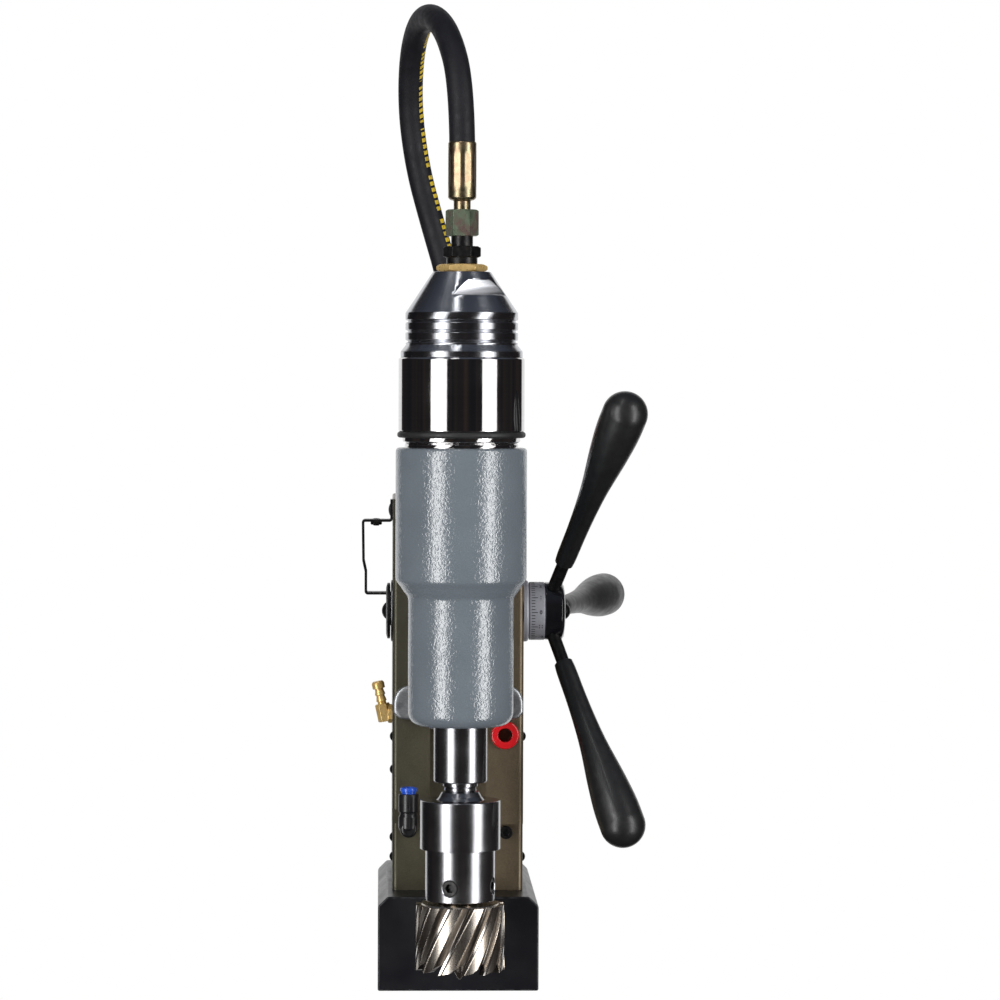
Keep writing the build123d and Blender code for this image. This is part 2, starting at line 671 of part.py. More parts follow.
def shaft_bolts():
    """The bolts that hold the end disc and the hub."""
    left = button_screw(4.5, 2.3, 2.5, 12)
    left = Pos(-FRAME_HALF_X - 3.6, PINION_Y, PINION_Z) * Rot(0, -90, 0) * left
    right = button_screw(4.5, 2.7, 2.5, 14)
    right = Pos(HUB_END_X + 0.7, PINION_Y, PINION_Z) * Rot(0, 90, 0) * right
    return [left, right]


def feed_hub():
    """The black hub: a short cylinder with a domed outer face and three radial holes."""
    x0, x1 = HUB_START_X, HUB_END_X
    profile = [(x0, SHAFT_R - 2), (x0, RING_R - 0.5), (x0 + 0.5, RING_R), (x1 - 1.6, RING_R),
               (x1 - 0.4, RING_R - 1.6), (x1 + 0.3, 9.0), (x1 + 0.7, 5.0), (x1 + 0.7, 2.5), (x1 - 3, 2.5),
               (x1 - 3, SHAFT_R - 2)]
    hub = turned_x(profile)
    for angle in ARM_ANGLES:
        hub -= on_arm(angle) * post(ARM_ROD_R, 9.5, 30)
    return hub


def scale_ring():
    """The graduated ring between the flange and the hub, clamped to the shaft."""
    x0, x1 = RING_START_X, HUB_START_X
    profile = [(x0, SHAFT_R), (x0, RING_R - 0.6), (x0 + 0.6, RING_R), (x1 - 0.4, RING_R),
               (x1, RING_R - 0.4), (x1, SHAFT_R)]
    return turned_x(profile)


def on_arm(angle):
    """The place of one arm: its own Z runs outwards along the arm."""
    place = Pos(ARM_ROOT_X - RING_R * tan(radians(ARM_TILT)), PINION_Y, PINION_Z)
    return place * Rot(angle, 0, 0) * Rot(-90, 0, 0) * Rot(0, ARM_TILT, 0)


def along_arm(radius_from_axis):
    """The distance along a tilted arm at which it is this far from the hub's axis."""
    return radius_from_axis / cos(radians(ARM_TILT))


def handle_rods():
    start = 10.9
    stop = along_arm(GRIP_START_R + GRIP_HOLE_DEPTH)
    return [on_arm(angle) * post(ARM_ROD_R, start, stop) for angle in ARM_ANGLES]


def handle_grips():
    """Long club-shaped grips, each with a blind hole for its rod."""
    z0 = along_arm(GRIP_START_R)
    ball = along_arm(GRIP_BALL_AT_R)
    tip = ball + GRIP_BALL_R
    start = (0, z0)
    with_neck = Line(start, (4.6, z0)) + Line((4.6, z0), (5.2, z0 + 2))
    side = Spline((5.2, z0 + 2), (5.6, z0 + 22), (7.6, z0 + 52), (GRIP_BALL_R - 0.8, ball - 12),
                  (GRIP_BALL_R, ball), tangents=[(0, 1), (0, 1)])
    cap = CenterArc((0, ball), GRIP_BALL_R, 0, 90)
    axis = Line((0, tip), start)
    face = make_face(Plane.XZ * (with_neck + side + cap + axis))
    grip = revolve(face, Axis.Z)
    grip -= post(ARM_ROD_R, z0, along_arm(GRIP_START_R + GRIP_HOLE_DEPTH))
    return [on_arm(angle) * grip for angle in ARM_ANGLES]


# ------------------------------------------------------------------------ head


def gearbox_casting():
    r_low, r_up = CASTING_LOWER_R, CASTING_UPPER_R
    step = CASTING_STEP_TOP - CASTING_STEP
    outline = Polyline((0, CASTING_FOOT), (r_low - 7, CASTING_FOOT))
    outline += RadiusArc((r_low - 7, CASTING_FOOT), (r_low, CASTING_FOOT + 7), -7)
    outline += Line((r_low, CASTING_FOOT + 7), (r_low, CASTING_STEP))
    low_bend = (r_low + 1.3, CASTING_STEP + step * 0.24)
    high_bend = (r_up - 1.3, CASTING_STEP_TOP - step * 0.24)
    ends = ((r_low, CASTING_STEP), (r_up, CASTING_STEP_TOP))
    outline += Spline(ends[0], low_bend, high_bend, ends[1], tangents=[(0, 1), (0, 1)])
    outline += Line((r_up, CASTING_STEP_TOP), (r_up, CASTING_TOP - 1))
    outline += Line((r_up, CASTING_TOP - 1), (r_up - 1, CASTING_TOP))
    outline += Line((r_up - 1, CASTING_TOP), (0, CASTING_TOP))
    outline += Line((0, CASTING_TOP), (0, CASTING_FOOT))
    body = Pos(0, SPINDLE_Y, 0) * revolve(make_face(Plane.XZ * outline), Axis.Z)
    web = block(-WEB_HALF_X, WEB_HALF_X, SPINDLE_Y, FRONT_Y, CASTING_FOOT, MOTOR_SEAT + 8)
    body += web
    body += ears()
    body -= post(SPINDLE_R + 0.5, CASTING_FOOT - 5, CASTING_TOP, 0, SPINDLE_Y)
    body -= post(LOWER_BORE_R, CASTING_FOOT + 2, CASTING_TOP, 0, SPINDLE_Y)
    body -= post(UPPER_BORE_R, CARRIER_FOOT - 1, CASTING_TOP, 0, SPINDLE_Y)
    body -= post(MOTOR_BORE_R, MOTOR_SEAT, CASTING_TOP, 0, SPINDLE_Y)
    for x in SLIDE_SCREW_X:
        for z in SLIDE_SCREW_Z:
            body -= rod_y(SLIDE_SCREW_R, FRONT_Y - 12, FRONT_Y, x, z)
    return body


def ears():
    """The machined plate at the foot of the casting, just clear of the column's face."""
    half = EAR_HALF_X
    r = EAR_CORNER_R
    outline = Polyline((-half + 3, EAR_FOOT + 1.6), (-WEB_HALF_X, EAR_FOOT), (WEB_HALF_X, EAR_FOOT),
                       (half - 3, EAR_FOOT + 1.6), (half, EAR_FOOT + 4.5), (half, EAR_TOP - r))
    outline += CenterArc((half - r, EAR_TOP - r), r, 0, 90)
    outline += Line((half - r, EAR_TOP), (-half + r, EAR_TOP))
    outline += CenterArc((-half + r, EAR_TOP - r), r, 90, 90)
    outline += Polyline((-half, EAR_TOP - r), (-half, EAR_FOOT + 4.5), (-half + 3, EAR_FOOT + 1.6))
    plate = extrude(Plane.XZ * make_face(outline), EAR_BACK_Y - EAR_FRONT_Y)
    return Pos(0, EAR_BACK_Y, 0) * plate


def dovetail_bar():
    back_y = FRONT_Y + DOVETAIL_DEPTH
    body = dovetail(DOVETAIL_HALF_FRONT, DOVETAIL_HALF_BACK, FRONT_Y, back_y, BAR_FOOT, BAR_TOP)
    body -= block(-RACK_HALF_X, RACK_HALF_X, FRONT_Y, FRONT_Y + DOVETAIL_DEPTH, BAR_FOOT, BAR_TOP)
    side = DOVETAIL_DEPTH
    halves = []
    for x in (-1, 1):
        x0 = min(x * RACK_HALF_X, x * 25)
        x1 = max(x * RACK_HALF_X, x * 25)
        half = body & block(x0, x1, FRONT_Y, FRONT_Y + side, BAR_FOOT, BAR_TOP)
        for z in SLIDE_SCREW_Z:
            half -= rod_y(SLIDE_SCREW_R, FRONT_Y, FRONT_Y + side, x * SLIDE_SCREW_X[1], z)
            half -= rod_y(3.6, FRONT_Y + side - 4.2, FRONT_Y + side, x * SLIDE_SCREW_X[1], z)
        halves.append(half)
    return halves


def slide_screws():
    """Socket screws through the slide bars into the casting."""
    screws = []
    for x in SLIDE_SCREW_X:
        for z in SLIDE_SCREW_Z:
            screw = socket_screw(3.4, 3.6, SLIDE_SCREW_R, 15)
            place = Pos(x, FRONT_Y + DOVETAIL_DEPTH - 4.2, z)
            screws.append(place * Rot(-90, 0, 0) * screw)
    return screws


def feed_rack():
    """The rack between the slide bars, with straight-sided teeth facing the pinion."""
    module = PINION_MODULE
    pitch = pi * module
    pitch_y = PINION_Y - PINION_MODULE * PINION_TEETH / 2
    tip_y = pitch_y + STUB_ADDENDUM * module
    root_y = pitch_y - DEDENDUM * module
    slope = tan(radians(PRESSURE_ANGLE))
    half = (pitch / 2 - BACKLASH) / 2
    half_tip = half - (tip_y - pitch_y) * slope
    half_root = half + (pitch_y - root_y) * slope
    below = int((PINION_Z - BAR_FOOT) / pitch)
    above = int((BAR_TOP - PINION_Z) / pitch)
    outline = [(FRONT_Y, BAR_FOOT), (root_y, BAR_FOOT)]
    for tooth in range(-below + 1, above):
        z = PINION_Z + tooth * pitch
        outline += [(root_y, z - half_root), (tip_y, z - half_tip)]
        outline += [(tip_y, z + half_tip), (root_y, z + half_root)]
    outline += [(root_y, BAR_TOP), (FRONT_Y, BAR_TOP)]
    face = Plane.YZ * make_face(Polyline(*outline, close=True))
    return extrude(face, RACK_HALF_X - 0.02, both=True)


def ring_part(inner_r, outer_r, z0, z1):
    """A plain ring round the spindle's line."""
    return post(outer_r, z0, z1, 0, SPINDLE_Y) - post(inner_r, z0, z1, 0, SPINDLE_Y)


def oil_seal():
    return ring_part(SPINDLE_R + RUNNING_GAP, LOWER_BORE_R, CASTING_FOOT + 2, CASTING_FOOT + 7)


def spindle_bearings():
    """Two deep-groove bearings, the outer and inner ring with shields as one ring each."""
    low = CASTING_FOOT + 7.5
    high = CARRIER_FOOT - 13.2
    return [ring_part(SPINDLE_NECK_R + 0.02, LOWER_BORE_R, z, z + 12) for z in (low, high)]


def ring_gear():
    teeth = Pos(0, SPINDLE_Y, GEAR_FOOT) * ring_gear_cutter(GEAR_TOP - GEAR_FOOT)
    return post(UPPER_BORE_R, GEAR_FOOT, GEAR_TOP, 0, SPINDLE_Y) - teeth


def rotor_end_plates():
    """The plates that close the liner, each with a seat for a ball bearing."""
    front = ring_part(BALL_BEARING_BORE_R + 1.5, UPPER_BORE_R, PLATE_FOOT, LINER_FOOT)
    front -= post(BALL_BEARING_R, PLATE_FOOT + 1, PLATE_FOOT + 1 + BALL_BEARING_WIDTH, 0, SPINDLE_Y)
    rear = ring_part(BALL_BEARING_BORE_R + 0.5, LINER_R, LINER_TOP, REAR_PLATE_TOP)
    rear -= post(BALL_BEARING_R, LINER_TOP + 1, LINER_TOP + 1 + BALL_BEARING_WIDTH, 0, SPINDLE_Y)
    return [front, rear]


def rotor_bearings():
    feet = (PLATE_FOOT + 1, LINER_TOP + 1)
    return [ring_part(BALL_BEARING_BORE_R + 0.02, BALL_BEARING_R, z, z + BALL_BEARING_WIDTH) for z in feet]


def motor_liner():
    """The liner, its bore set to one side of the rotor's line."""
    body = post(LINER_R, LINER_FOOT, LINER_TOP, 0, SPINDLE_Y)
    return body - post(LINER_BORE_R, LINER_FOOT, LINER_TOP, 0, SPINDLE_Y + ROTOR_OFFSET)


def motor_cylinder():
    """The motor's outer cylinder, with the neck that goes down into the casting."""
    groove_z = CASTING_TOP + 1.6
    profile = [(LINER_R, MOTOR_SEAT), (MOTOR_BORE_R, MOTOR_SEAT), (MOTOR_BORE_R, CASTING_TOP),
               (NECK_FOOT_R, CASTING_TOP), (NECK_FOOT_R, groove_z), (NECK_FOOT_R - 0.6, groove_z + 0.4),
               (NECK_FOOT_R - 0.6, groove_z + 0.8), (NECK_R, groove_z + 1.5), (NECK_R, O_RING_TOP),
               (BARREL_R - 0.5, O_RING_TOP), (BARREL_R, O_RING_TOP + 0.5), (BARREL_R, BARREL_TOP - 0.8),
               (BARREL_R - 0.8, BARREL_TOP), (LINER_R, BARREL_TOP)]
    return turned(profile, 0, SPINDLE_Y)


def o_ring():
    body = ring_part(NECK_R, O_RING_R, O_RING_FOOT, O_RING_TOP)
    outer = body.edges().filter_by(GeomType.CIRCLE).sort_by(lambda e: e.radius)[-2:]
    return fillet(outer, 1.4)


def clamp_ring():
    return ring_part(LINER_R, CLAMP_R, BARREL_TOP, CAP_FOOT)


def end_cap():
    """The turned cap: taper, grooved band, cone with two flats, and its air chamber."""
    outline = [(0, CAP_FOOT), (CLAMP_R, CAP_FOOT), (CAP_R - 0.35, CAP_BAND_FOOT - 0.4)]
    for z in CAP_GROOVES:
        outline += [(CAP_R, z - 0.8), (CAP_R - 1.3, z - 0.3), (CAP_R - 1.3, z + 0.3), (CAP_R, z + 0.8)]
    outline += [(CAP_R, CAP_BAND_TOP - 0.4), (CAP_R - 0.4, CAP_BAND_TOP), (CAP_TOP_R, CAP_TOP), (0, CAP_TOP)]
    body = turned(outline, 0, SPINDLE_Y)
    body -= post(LINER_R - 6, CAP_FOOT, CAP_BAND_TOP - 5, 0, SPINDLE_Y)
    body -= post(ADAPTER_THREAD_R, CAP_BAND_TOP - 6, CAP_TOP, 0, SPINDLE_Y)
    for side in (0, 180):
        flat = block(-20, 20, -40, -CAP_FLAT_AT, CAP_FLAT_FOOT, CAP_FLAT_TOP)
        body -= Pos(0, SPINDLE_Y, 0) * Rot(0, 0, CAP_FLAT_ANGLE + side) * flat
    return body


def cap_nut():
    nut = hexagon(BRASS_NUT_AF, CAP_TOP, BRASS_NUT_TOP, 0, SPINDLE_Y)
    return nut - post(ADAPTER_THREAD_R, CAP_TOP, BRASS_NUT_TOP, 0, SPINDLE_Y)


def hose_adapter():
    """Black adapter: thread in the cap, sealing ring, hexagon, neck."""
    body = post(ADAPTER_THREAD_R, CAP_TOP - 12, BRASS_NUT_TOP, 0, SPINDLE_Y)
    body += post(8.0, BRASS_NUT_TOP, SEAL_TOP, 0, SPINDLE_Y)
    body += hexagon(ADAPTER_HEX_AF, SEAL_TOP, HEX_TOP, 0, SPINDLE_Y, HEX_TURN)
    body += post(ADAPTER_NECK_R, HEX_TOP, NUT_FOOT + 6, 0, SPINDLE_Y)
    return body - post(ADAPTER_BORE_R, CAP_TOP - 12, NUT_FOOT + 6, 0, SPINDLE_Y)


def swivel_nut():
    nut = hexagon(SWIVEL_NUT_AF, NUT_FOOT, NUT_TOP, 0, SPINDLE_Y, HEX_TURN)
    nut -= post(ADAPTER_NECK_R, NUT_FOOT, NUT_FOOT + 6, 0, SPINDLE_Y)
    return nut - post(STUB_R, NUT_FOOT + 6, NUT_TOP, 0, SPINDLE_Y)


def crimp_ferrule(z_stub, z_foot, z_top, y):
    """A crimped sleeve with its tube stub below."""
    r = FERRULE_R
    profile = [(0, z_stub), (STUB_R, z_stub), (STUB_R, z_foot), (r - 0.8, z_foot), (r, z_foot + 1.2),
               (r, z_foot + 6),
               (r - 0.5, z_foot + 7), (r - 0.5, z_top - 6), (r, z_top - 5), (r, z_top - 0.8),
               (r - 0.8, z_top), (0, z_top)]
    return turned(profile, 0, y)


def hose_ferrule():
    """The ferrule on the motor, crimped round the hose's end."""
    body = crimp_ferrule(NUT_FOOT + 6, STUB_TOP, FERRULE_TOP, SPINDLE_Y)
    return body - post(HOSE_R, HOSE_END, FERRULE_TOP, 0, SPINDLE_Y)


# --------------------------------------------------------------------- spindle


def spindle():
    """The spindle with its taper socket, and the planet carrier at its top."""
    neck_foot = CASTING_FOOT + 7.3
    profile = [(0, SPINDLE_FOOT), (SPINDLE_R - 0.6, SPINDLE_FOOT), (SPINDLE_R, SPINDLE_FOOT + 0.6),
               (SPINDLE_R, neck_foot), (SPINDLE_NECK_R, neck_foot), (SPINDLE_NECK_R, CARRIER_FOOT),
               (CARRIER_R, CARRIER_FOOT), (CARRIER_R, CARRIER_TOP), (0, CARRIER_TOP)]
    body = turned(profile, 0, SPINDLE_Y)
    socket = [(0, SPINDLE_FOOT), (ARBOR_NECK_R, SPINDLE_FOOT), (TAPER_TOP_R, SPINDLE_FOOT + TAPER_LENGTH),
              (0, SPINDLE_FOOT + TAPER_LENGTH)]
    body -= turned(socket, 0, SPINDLE_Y)
    for x, y in planet_places():
        body -= post(PLANET_PIN_R, CARRIER_FOOT, CARRIER_TOP, x, SPINDLE_Y + y)
    return body


def planet_places():
    """The three planet axes, as (x, y) from the spindle's line."""
    return [(PLANET_ORBIT * cos(radians(a)), PLANET_ORBIT * sin(radians(a))) for a in PLANET_ANGLES]


def planet_pins():
    return [post(PLANET_PIN_R, CARRIER_FOOT, GEAR_TOP, x, SPINDLE_Y + y) for x, y in planet_places()]


def planet(index):
    """One planet, turned so that it meshes with the sun and the ring gear."""
    angle = PLANET_ANGLES[index]
    x, y = planet_places()[index]
    turn = angle + 180 - 180 / PLANET_TEETH * (1 - angle * 2 * SUN_TEETH / 360)
    gear = spur_gear(PLANET_TEETH, GEAR_MODULE, GEAR_TOP - GEAR_FOOT - 2, turn)
    gear = Pos(x, SPINDLE_Y + y, GEAR_FOOT + 1) * gear
    return gear - post(PLANET_PIN_R + RUNNING_GAP, GEAR_FOOT, GEAR_TOP, x, SPINDLE_Y + y)


def arbor():
    """The holder: taper shank, collar, and a socket for the cutter's shank."""
    profile = [(0, ARBOR_FOOT), (ARBOR_R - 0.6, ARBOR_FOOT), (ARBOR_R, ARBOR_FOOT + 0.6),
               (ARBOR_R, ARBOR_STEP),
               (ARBOR_COLLAR_R, ARBOR_STEP), (ARBOR_COLLAR_R, ARBOR_COLLAR_TOP - 0.8),
               (ARBOR_COLLAR_R - 0.8, ARBOR_COLLAR_TOP), (12.6, ARBOR_COLLAR_TOP),
               (11.0, ARBOR_COLLAR_TOP + 2.0),
               (ARBOR_NECK_R + 0.6, ARBOR_COLLAR_TOP + 4.2), (ARBOR_NECK_R - 0.8, ARBOR_COLLAR_TOP + 5),
               (ARBOR_NECK_R - 0.8, ARBOR_COLLAR_TOP + 6.4), (ARBOR_NECK_R - 0.02, ARBOR_COLLAR_TOP + 7.2),
               (ARBOR_NECK_R - 0.02, SPINDLE_FOOT), (TAPER_TOP_R - 0.02, SPINDLE_FOOT + TAPER_LENGTH - 1),
               (0, SPINDLE_FOOT + TAPER_LENGTH - 1)]
    body = turned(profile, 0, SPINDLE_Y)
    body -= post(SHANK_R + 0.02, ARBOR_FOOT, SHANK_TOP + 0.5, 0, SPINDLE_Y)
    body -= post(SPRING_BORE_R, SHANK_TOP, SPRING_SEAT_Z, 0, SPINDLE_Y)
    for angle in SET_SCREW_ANGLES:
        hole = rod_y(SET_SCREW_R, -ARBOR_R - 1, -SHANK_FLAT, 0, 0)
        body -= Pos(0, SPINDLE_Y, SET_SCREW_Z) * Rot(0, 0, angle) * hole
    return body


def set_screws():
    """Two socket set screws that clamp on the flats of the cutter's shank."""
    screws = []
    for angle in SET_SCREW_ANGLES:
        screw = rod_y(SET_SCREW_R, -ARBOR_R + 0.6, -SHANK_FLAT, 0, 0)
        key = extrude(RegularPolygon(2.3, 6), 4)
        socket = Pos(0, -ARBOR_R + 0.6, 0) * Rot(90, 0, 0) * Pos(0, 0, -3) * key
        screws.append(Pos(0, SPINDLE_Y, SET_SCREW_Z) * Rot(0, 0, angle) * (screw - socket))
    return screws


def cutter():
    """Annular cutter: toothed cup with chip flutes, and a shank with two flats."""
    roof = CUTTER_TOP - CUTTER_SHOULDER
    profile = [(PIN_R + 0.05, roof), (CUTTER_BORE_R, roof),
               (CUTTER_BORE_R, CUTTER_FOOT), (CUTTER_R, CUTTER_FOOT), (CUTTER_R, CUTTER_TOP - 1),
               (CUTTER_R - 1, CUTTER_TOP), (SHANK_R, CUTTER_TOP), (SHANK_R, SHANK_TOP - 1),
               (SHANK_R - 1, SHANK_TOP), (PIN_R + 0.05, SHANK_TOP)]
    body = turned(profile, 0, SPINDLE_Y)
    for angle in SET_SCREW_ANGLES:
        flat = block(-12, 12, -12, -SHANK_FLAT, SET_SCREW_Z - 6, SET_SCREW_Z + 6)
        body -= Pos(0, SPINDLE_Y, 0) * Rot(0, 0, angle) * flat
    middle = (CUTTER_FOOT + CUTTER_TOP) / 2
    groove = Pos(0, -CUTTER_R, middle) * Rot(0, FLUTE_LEAN, 0) * Box(FLUTE_WIDTH, 2 * FLUTE_DEPTH, 60)
    groove = groove & block(-30, 30, -30, 0, 0, CUTTER_TOP - 2)
    gullet = Pos(0, -CUTTER_R + 2, CUTTER_FOOT) * Rot(0, 45, 0) * Box(GULLET_SIZE, 9, GULLET_SIZE)
    for tooth in range(CUTTER_TEETH):
        angle = 360 * tooth / CUTTER_TEETH
        body -= Pos(0, SPINDLE_Y, 0) * Rot(0, 0, angle) * groove
        body -= Pos(0, SPINDLE_Y, 0) * Rot(0, 0, angle + GULLET_LAG) * gullet
    return body


def pilot_pin():
    profile = [(0, PIN_TIP), (0.6, PIN_TIP), (PIN_R, PIN_TIP + 4.2), (PIN_R, PIN_HEAD_Z),
               (SPRING_BORE_R - 0.05, PIN_HEAD_Z), (SPRING_BORE_R - 0.05, PIN_HEAD_Z + 3),
               (0, PIN_HEAD_Z + 3)]
    return turned(profile, 0, SPINDLE_Y)


def pilot_spring():
    """The return spring, a plain sleeve of the spring's own outer size."""
    return ring_part(2.6, SPRING_BORE_R - 0.3, PIN_HEAD_Z + 3, SPRING_SEAT_Z)


# ----------------------------------------------------------------------- motor


def rotor():
    """Slotted rotor with its shaft, and the sun gear cut on the shaft's lower end."""
    body = post(ROTOR_R, LINER_FOOT + 0.3, LINER_TOP - 0.3, 0, SPINDLE_Y)
    body += post(BALL_BEARING_BORE_R, GEAR_TOP, LINER_TOP + 8, 0, SPINDLE_Y)
    sun = spur_gear(SUN_TEETH, GEAR_MODULE, GEAR_TOP - GEAR_FOOT - 0.5, 0)
    body += Pos(0, SPINDLE_Y, GEAR_FOOT + 0.5) * sun
    for angle in VANE_ANGLES:
        body -= vane_slot(angle, VANE_HALF + 0.02, ROTOR_R + 1)
    return body


def vane_slot(angle, half, outer_r):
    slot = block(-half, half, VANE_FOOT_R, outer_r, LINER_FOOT + 0.3, LINER_TOP - 0.3)
    return Pos(0, SPINDLE_Y, 0) * Rot(0, 0, angle) * slot


def rotor_vanes():
    return [vane_slot(angle, VANE_HALF, ROTOR_R) for angle in VANE_ANGLES]


# ----------------------------------------------------------------- valve block


def valve_block():
    y0, y1 = VALVE_Y - VALVE_HALF_Y, VALVE_Y + VALVE_HALF_Y
    body = block(-VALVE_HALF_X, VALVE_HALF_X, y0, y1, COLUMN_TOP, VALVE_TOP)
    body = fillet(body.edges().filter_by(Axis.Z), 3)
    body -= post(NIPPLE_THREAD_R, VALVE_TOP - 8, VALVE_TOP, 0, VALVE_Y)
    body -= rod_x(INLET_R, -VALVE_HALF_X, -VALVE_HALF_X + INLET_DEPTH, VALVE_Y, LEVER_Z)
    return body - rod_y(LEVER_STEM_R + RUNNING_GAP, y1 - 8, y1, 0, LEVER_Z)


def valve_nipple():
    body = post(NIPPLE_THREAD_R, VALVE_TOP - 7, VALVE_TOP, 0, VALVE_Y)
    body += hexagon(NIPPLE_HEX_AF, VALVE_TOP, NIPPLE_TOP, 0, VALVE_Y, 10)
    return body - post(ADAPTER_BORE_R, VALVE_TOP - 7, NIPPLE_TOP - 1, 0, VALVE_Y)


def rear_ferrule():
    return crimp_ferrule(NIPPLE_TOP, NIPPLE_TOP + 1, REAR_FERRULE_TOP, VALVE_Y)


def valve_lever():
    """The air valve's lever, upright when the air is off."""
    y1 = VALVE_Y + VALVE_HALF_Y
    stem = rod_y(LEVER_STEM_R, y1 - 7.5, y1 + 4.5, 0, LEVER_Z)
    plate = block(-5, 5, y1 + 1.0, y1 + 4.0, LEVER_Z - 5, LEVER_TOP)
    plate = fillet(plate.edges().filter_by(Axis.Y), 4.9)
    return stem + plate


# ------------------------------------------------------------------------ hose


def air_hose():
    """The hose: straight runs joined by arcs as large as the runs allow."""
    points = [Vector(*p) for p in HOSE_ROUTE]
    radii = []
    for before, here, after in zip(points, points[1:], points[2:]):
        first, second = here - before, after - here
        half_turn = radians(first.get_angle(second)) / 2
        shorter = min(first.length, second.length)
        radii.append(HOSE_CORNER_SHARE * shorter / tan(half_turn))
    print("hose arc radii:", [round(r, 1) for r in radii])
    path = FilletPolyline(*HOSE_ROUTE, radius=radii)
    section = Plane(origin=HOSE_ROUTE[0], z_dir=path % 0) * Circle(HOSE_R)
    tube = sweep(section, path)
    expected = pi * HOSE_R**2 * path.length
    print(f"hose length {path.length:.1f} mm, volume {tube.volume:.0f}, section x length {expected:.0f}")
    return tube


NODES = {
    "magnet_housing": magnet_housing,
    "pole_plates": pole_plates,
    "magnet_pack": magnet_pack,
    "magnet_springs": magnet_springs,
    "base_block": base_block,
    "guide_column": guide_column,
    "frame_housing": frame_housing,
    "rear_cover": rear_cover,
    "frame_screws": frame_screws,
    "side_screws": side_screws,
    "red_port_ring": red_port_ring,
    "elbow_body": elbow_body,
    "release_collet": release_collet,
    "coolant_fitting": coolant_fitting,
    "bottle_bracket": bottle_bracket,
    "bracket_screws": bracket_screws,
    "feed_bushes": feed_bushes,
    "feed_flanges": feed_flanges,
    "pinion_shaft": pinion_shaft,
    "end_disc": end_disc,
    "shaft_bolts": shaft_bolts,
    "feed_hub": feed_hub,
    "scale_ring": scale_ring,
    "handle_rods": handle_rods,
    "handle_grips": handle_grips,
    "gearbox_casting": gearbox_casting,
    "dovetail_bar": dovetail_bar,
    "slide_screws": slide_screws,
    "feed_rack": feed_rack,
    "oil_seal": oil_seal,
    "spindle_bearings": spindle_bearings,
    "ring_gear": ring_gear,
    "rotor_end_plates": rotor_end_plates,
    "rotor_bearings": rotor_bearings,
    "motor_liner": motor_liner,
    "motor_cylinder": motor_cylinder,
    "o_ring": o_ring,
    "clamp_ring": clamp_ring,
    "end_cap": end_cap,
    "cap_nut": cap_nut,
    "hose_adapter": hose_adapter,
    "swivel_nut": swivel_nut,
    "hose_ferrule": hose_ferrule,
    "spindle": spindle,
    "planet_pins": planet_pins,
    "arbor": arbor,
    "set_screws": set_screws,
    "cutter": cutter,
    "pilot_pin": pilot_pin,
    "pilot_spring": pilot_spring,
    "rotor": rotor,
    "rotor_vanes": rotor_vanes,
    "valve_block": valve_block,
    "valve_nipple": valve_nipple,
    "rear_ferrule": rear_ferrule,
    "valve_lever": valve_lever,
    "air_hose": air_hose,
}

os.makedirs("parts", exist_ok=True)
for node, make in NODES.items():
    save(node, make())
for number in range(len(PLANET_ANGLES)):
    save(f"planet_{number + 1}", planet(number))
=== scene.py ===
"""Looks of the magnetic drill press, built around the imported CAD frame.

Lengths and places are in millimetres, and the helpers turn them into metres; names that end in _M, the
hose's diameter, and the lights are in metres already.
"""
import json
import math

import bmesh
import bpy
from mathutils import Euler, Matrix, Vector

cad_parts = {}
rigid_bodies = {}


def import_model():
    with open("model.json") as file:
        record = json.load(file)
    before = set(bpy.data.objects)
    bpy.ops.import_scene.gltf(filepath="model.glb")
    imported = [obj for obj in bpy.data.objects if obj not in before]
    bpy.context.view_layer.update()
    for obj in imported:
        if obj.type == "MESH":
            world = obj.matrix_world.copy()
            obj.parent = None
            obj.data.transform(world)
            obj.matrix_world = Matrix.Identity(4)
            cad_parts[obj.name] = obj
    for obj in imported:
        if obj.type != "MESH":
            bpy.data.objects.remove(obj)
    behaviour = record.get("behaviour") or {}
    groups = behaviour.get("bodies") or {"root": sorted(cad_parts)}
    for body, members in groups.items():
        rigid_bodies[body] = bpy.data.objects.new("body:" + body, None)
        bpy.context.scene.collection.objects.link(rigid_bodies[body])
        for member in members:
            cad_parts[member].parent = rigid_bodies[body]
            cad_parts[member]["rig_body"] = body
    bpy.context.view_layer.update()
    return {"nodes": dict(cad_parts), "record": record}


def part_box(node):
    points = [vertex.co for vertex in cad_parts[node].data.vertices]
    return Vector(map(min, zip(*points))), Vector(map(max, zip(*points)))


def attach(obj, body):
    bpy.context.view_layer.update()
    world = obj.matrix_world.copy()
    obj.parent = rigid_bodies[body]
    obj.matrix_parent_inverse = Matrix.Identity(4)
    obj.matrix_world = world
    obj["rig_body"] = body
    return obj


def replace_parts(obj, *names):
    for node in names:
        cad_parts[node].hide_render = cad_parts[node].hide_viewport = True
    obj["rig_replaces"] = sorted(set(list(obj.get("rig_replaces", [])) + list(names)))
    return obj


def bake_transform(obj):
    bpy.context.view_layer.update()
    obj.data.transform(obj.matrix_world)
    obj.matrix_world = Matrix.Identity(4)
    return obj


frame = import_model()

MM = 0.001
SHARP_ANGLE = math.radians(32)


def box_mm(node):
    """A node's lowest and highest corners, in millimetres."""
    low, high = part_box(node)
    return [v / MM for v in low], [v / MM for v in high]


def centre_mm(node):
    """The middle of a node's box, in millimetres."""
    low, high = box_mm(node)
    return [(a + b) / 2 for a, b in zip(low, high)]


SPINDLE_X, SPINDLE_Y, _ = centre_mm("clamp_ring")
_, HUB_Y, HUB_Z = centre_mm("scale_ring")
SPINDLE_LINE = (SPINDLE_X, SPINDLE_Y)


# ------------------------------------------------------------------ materials


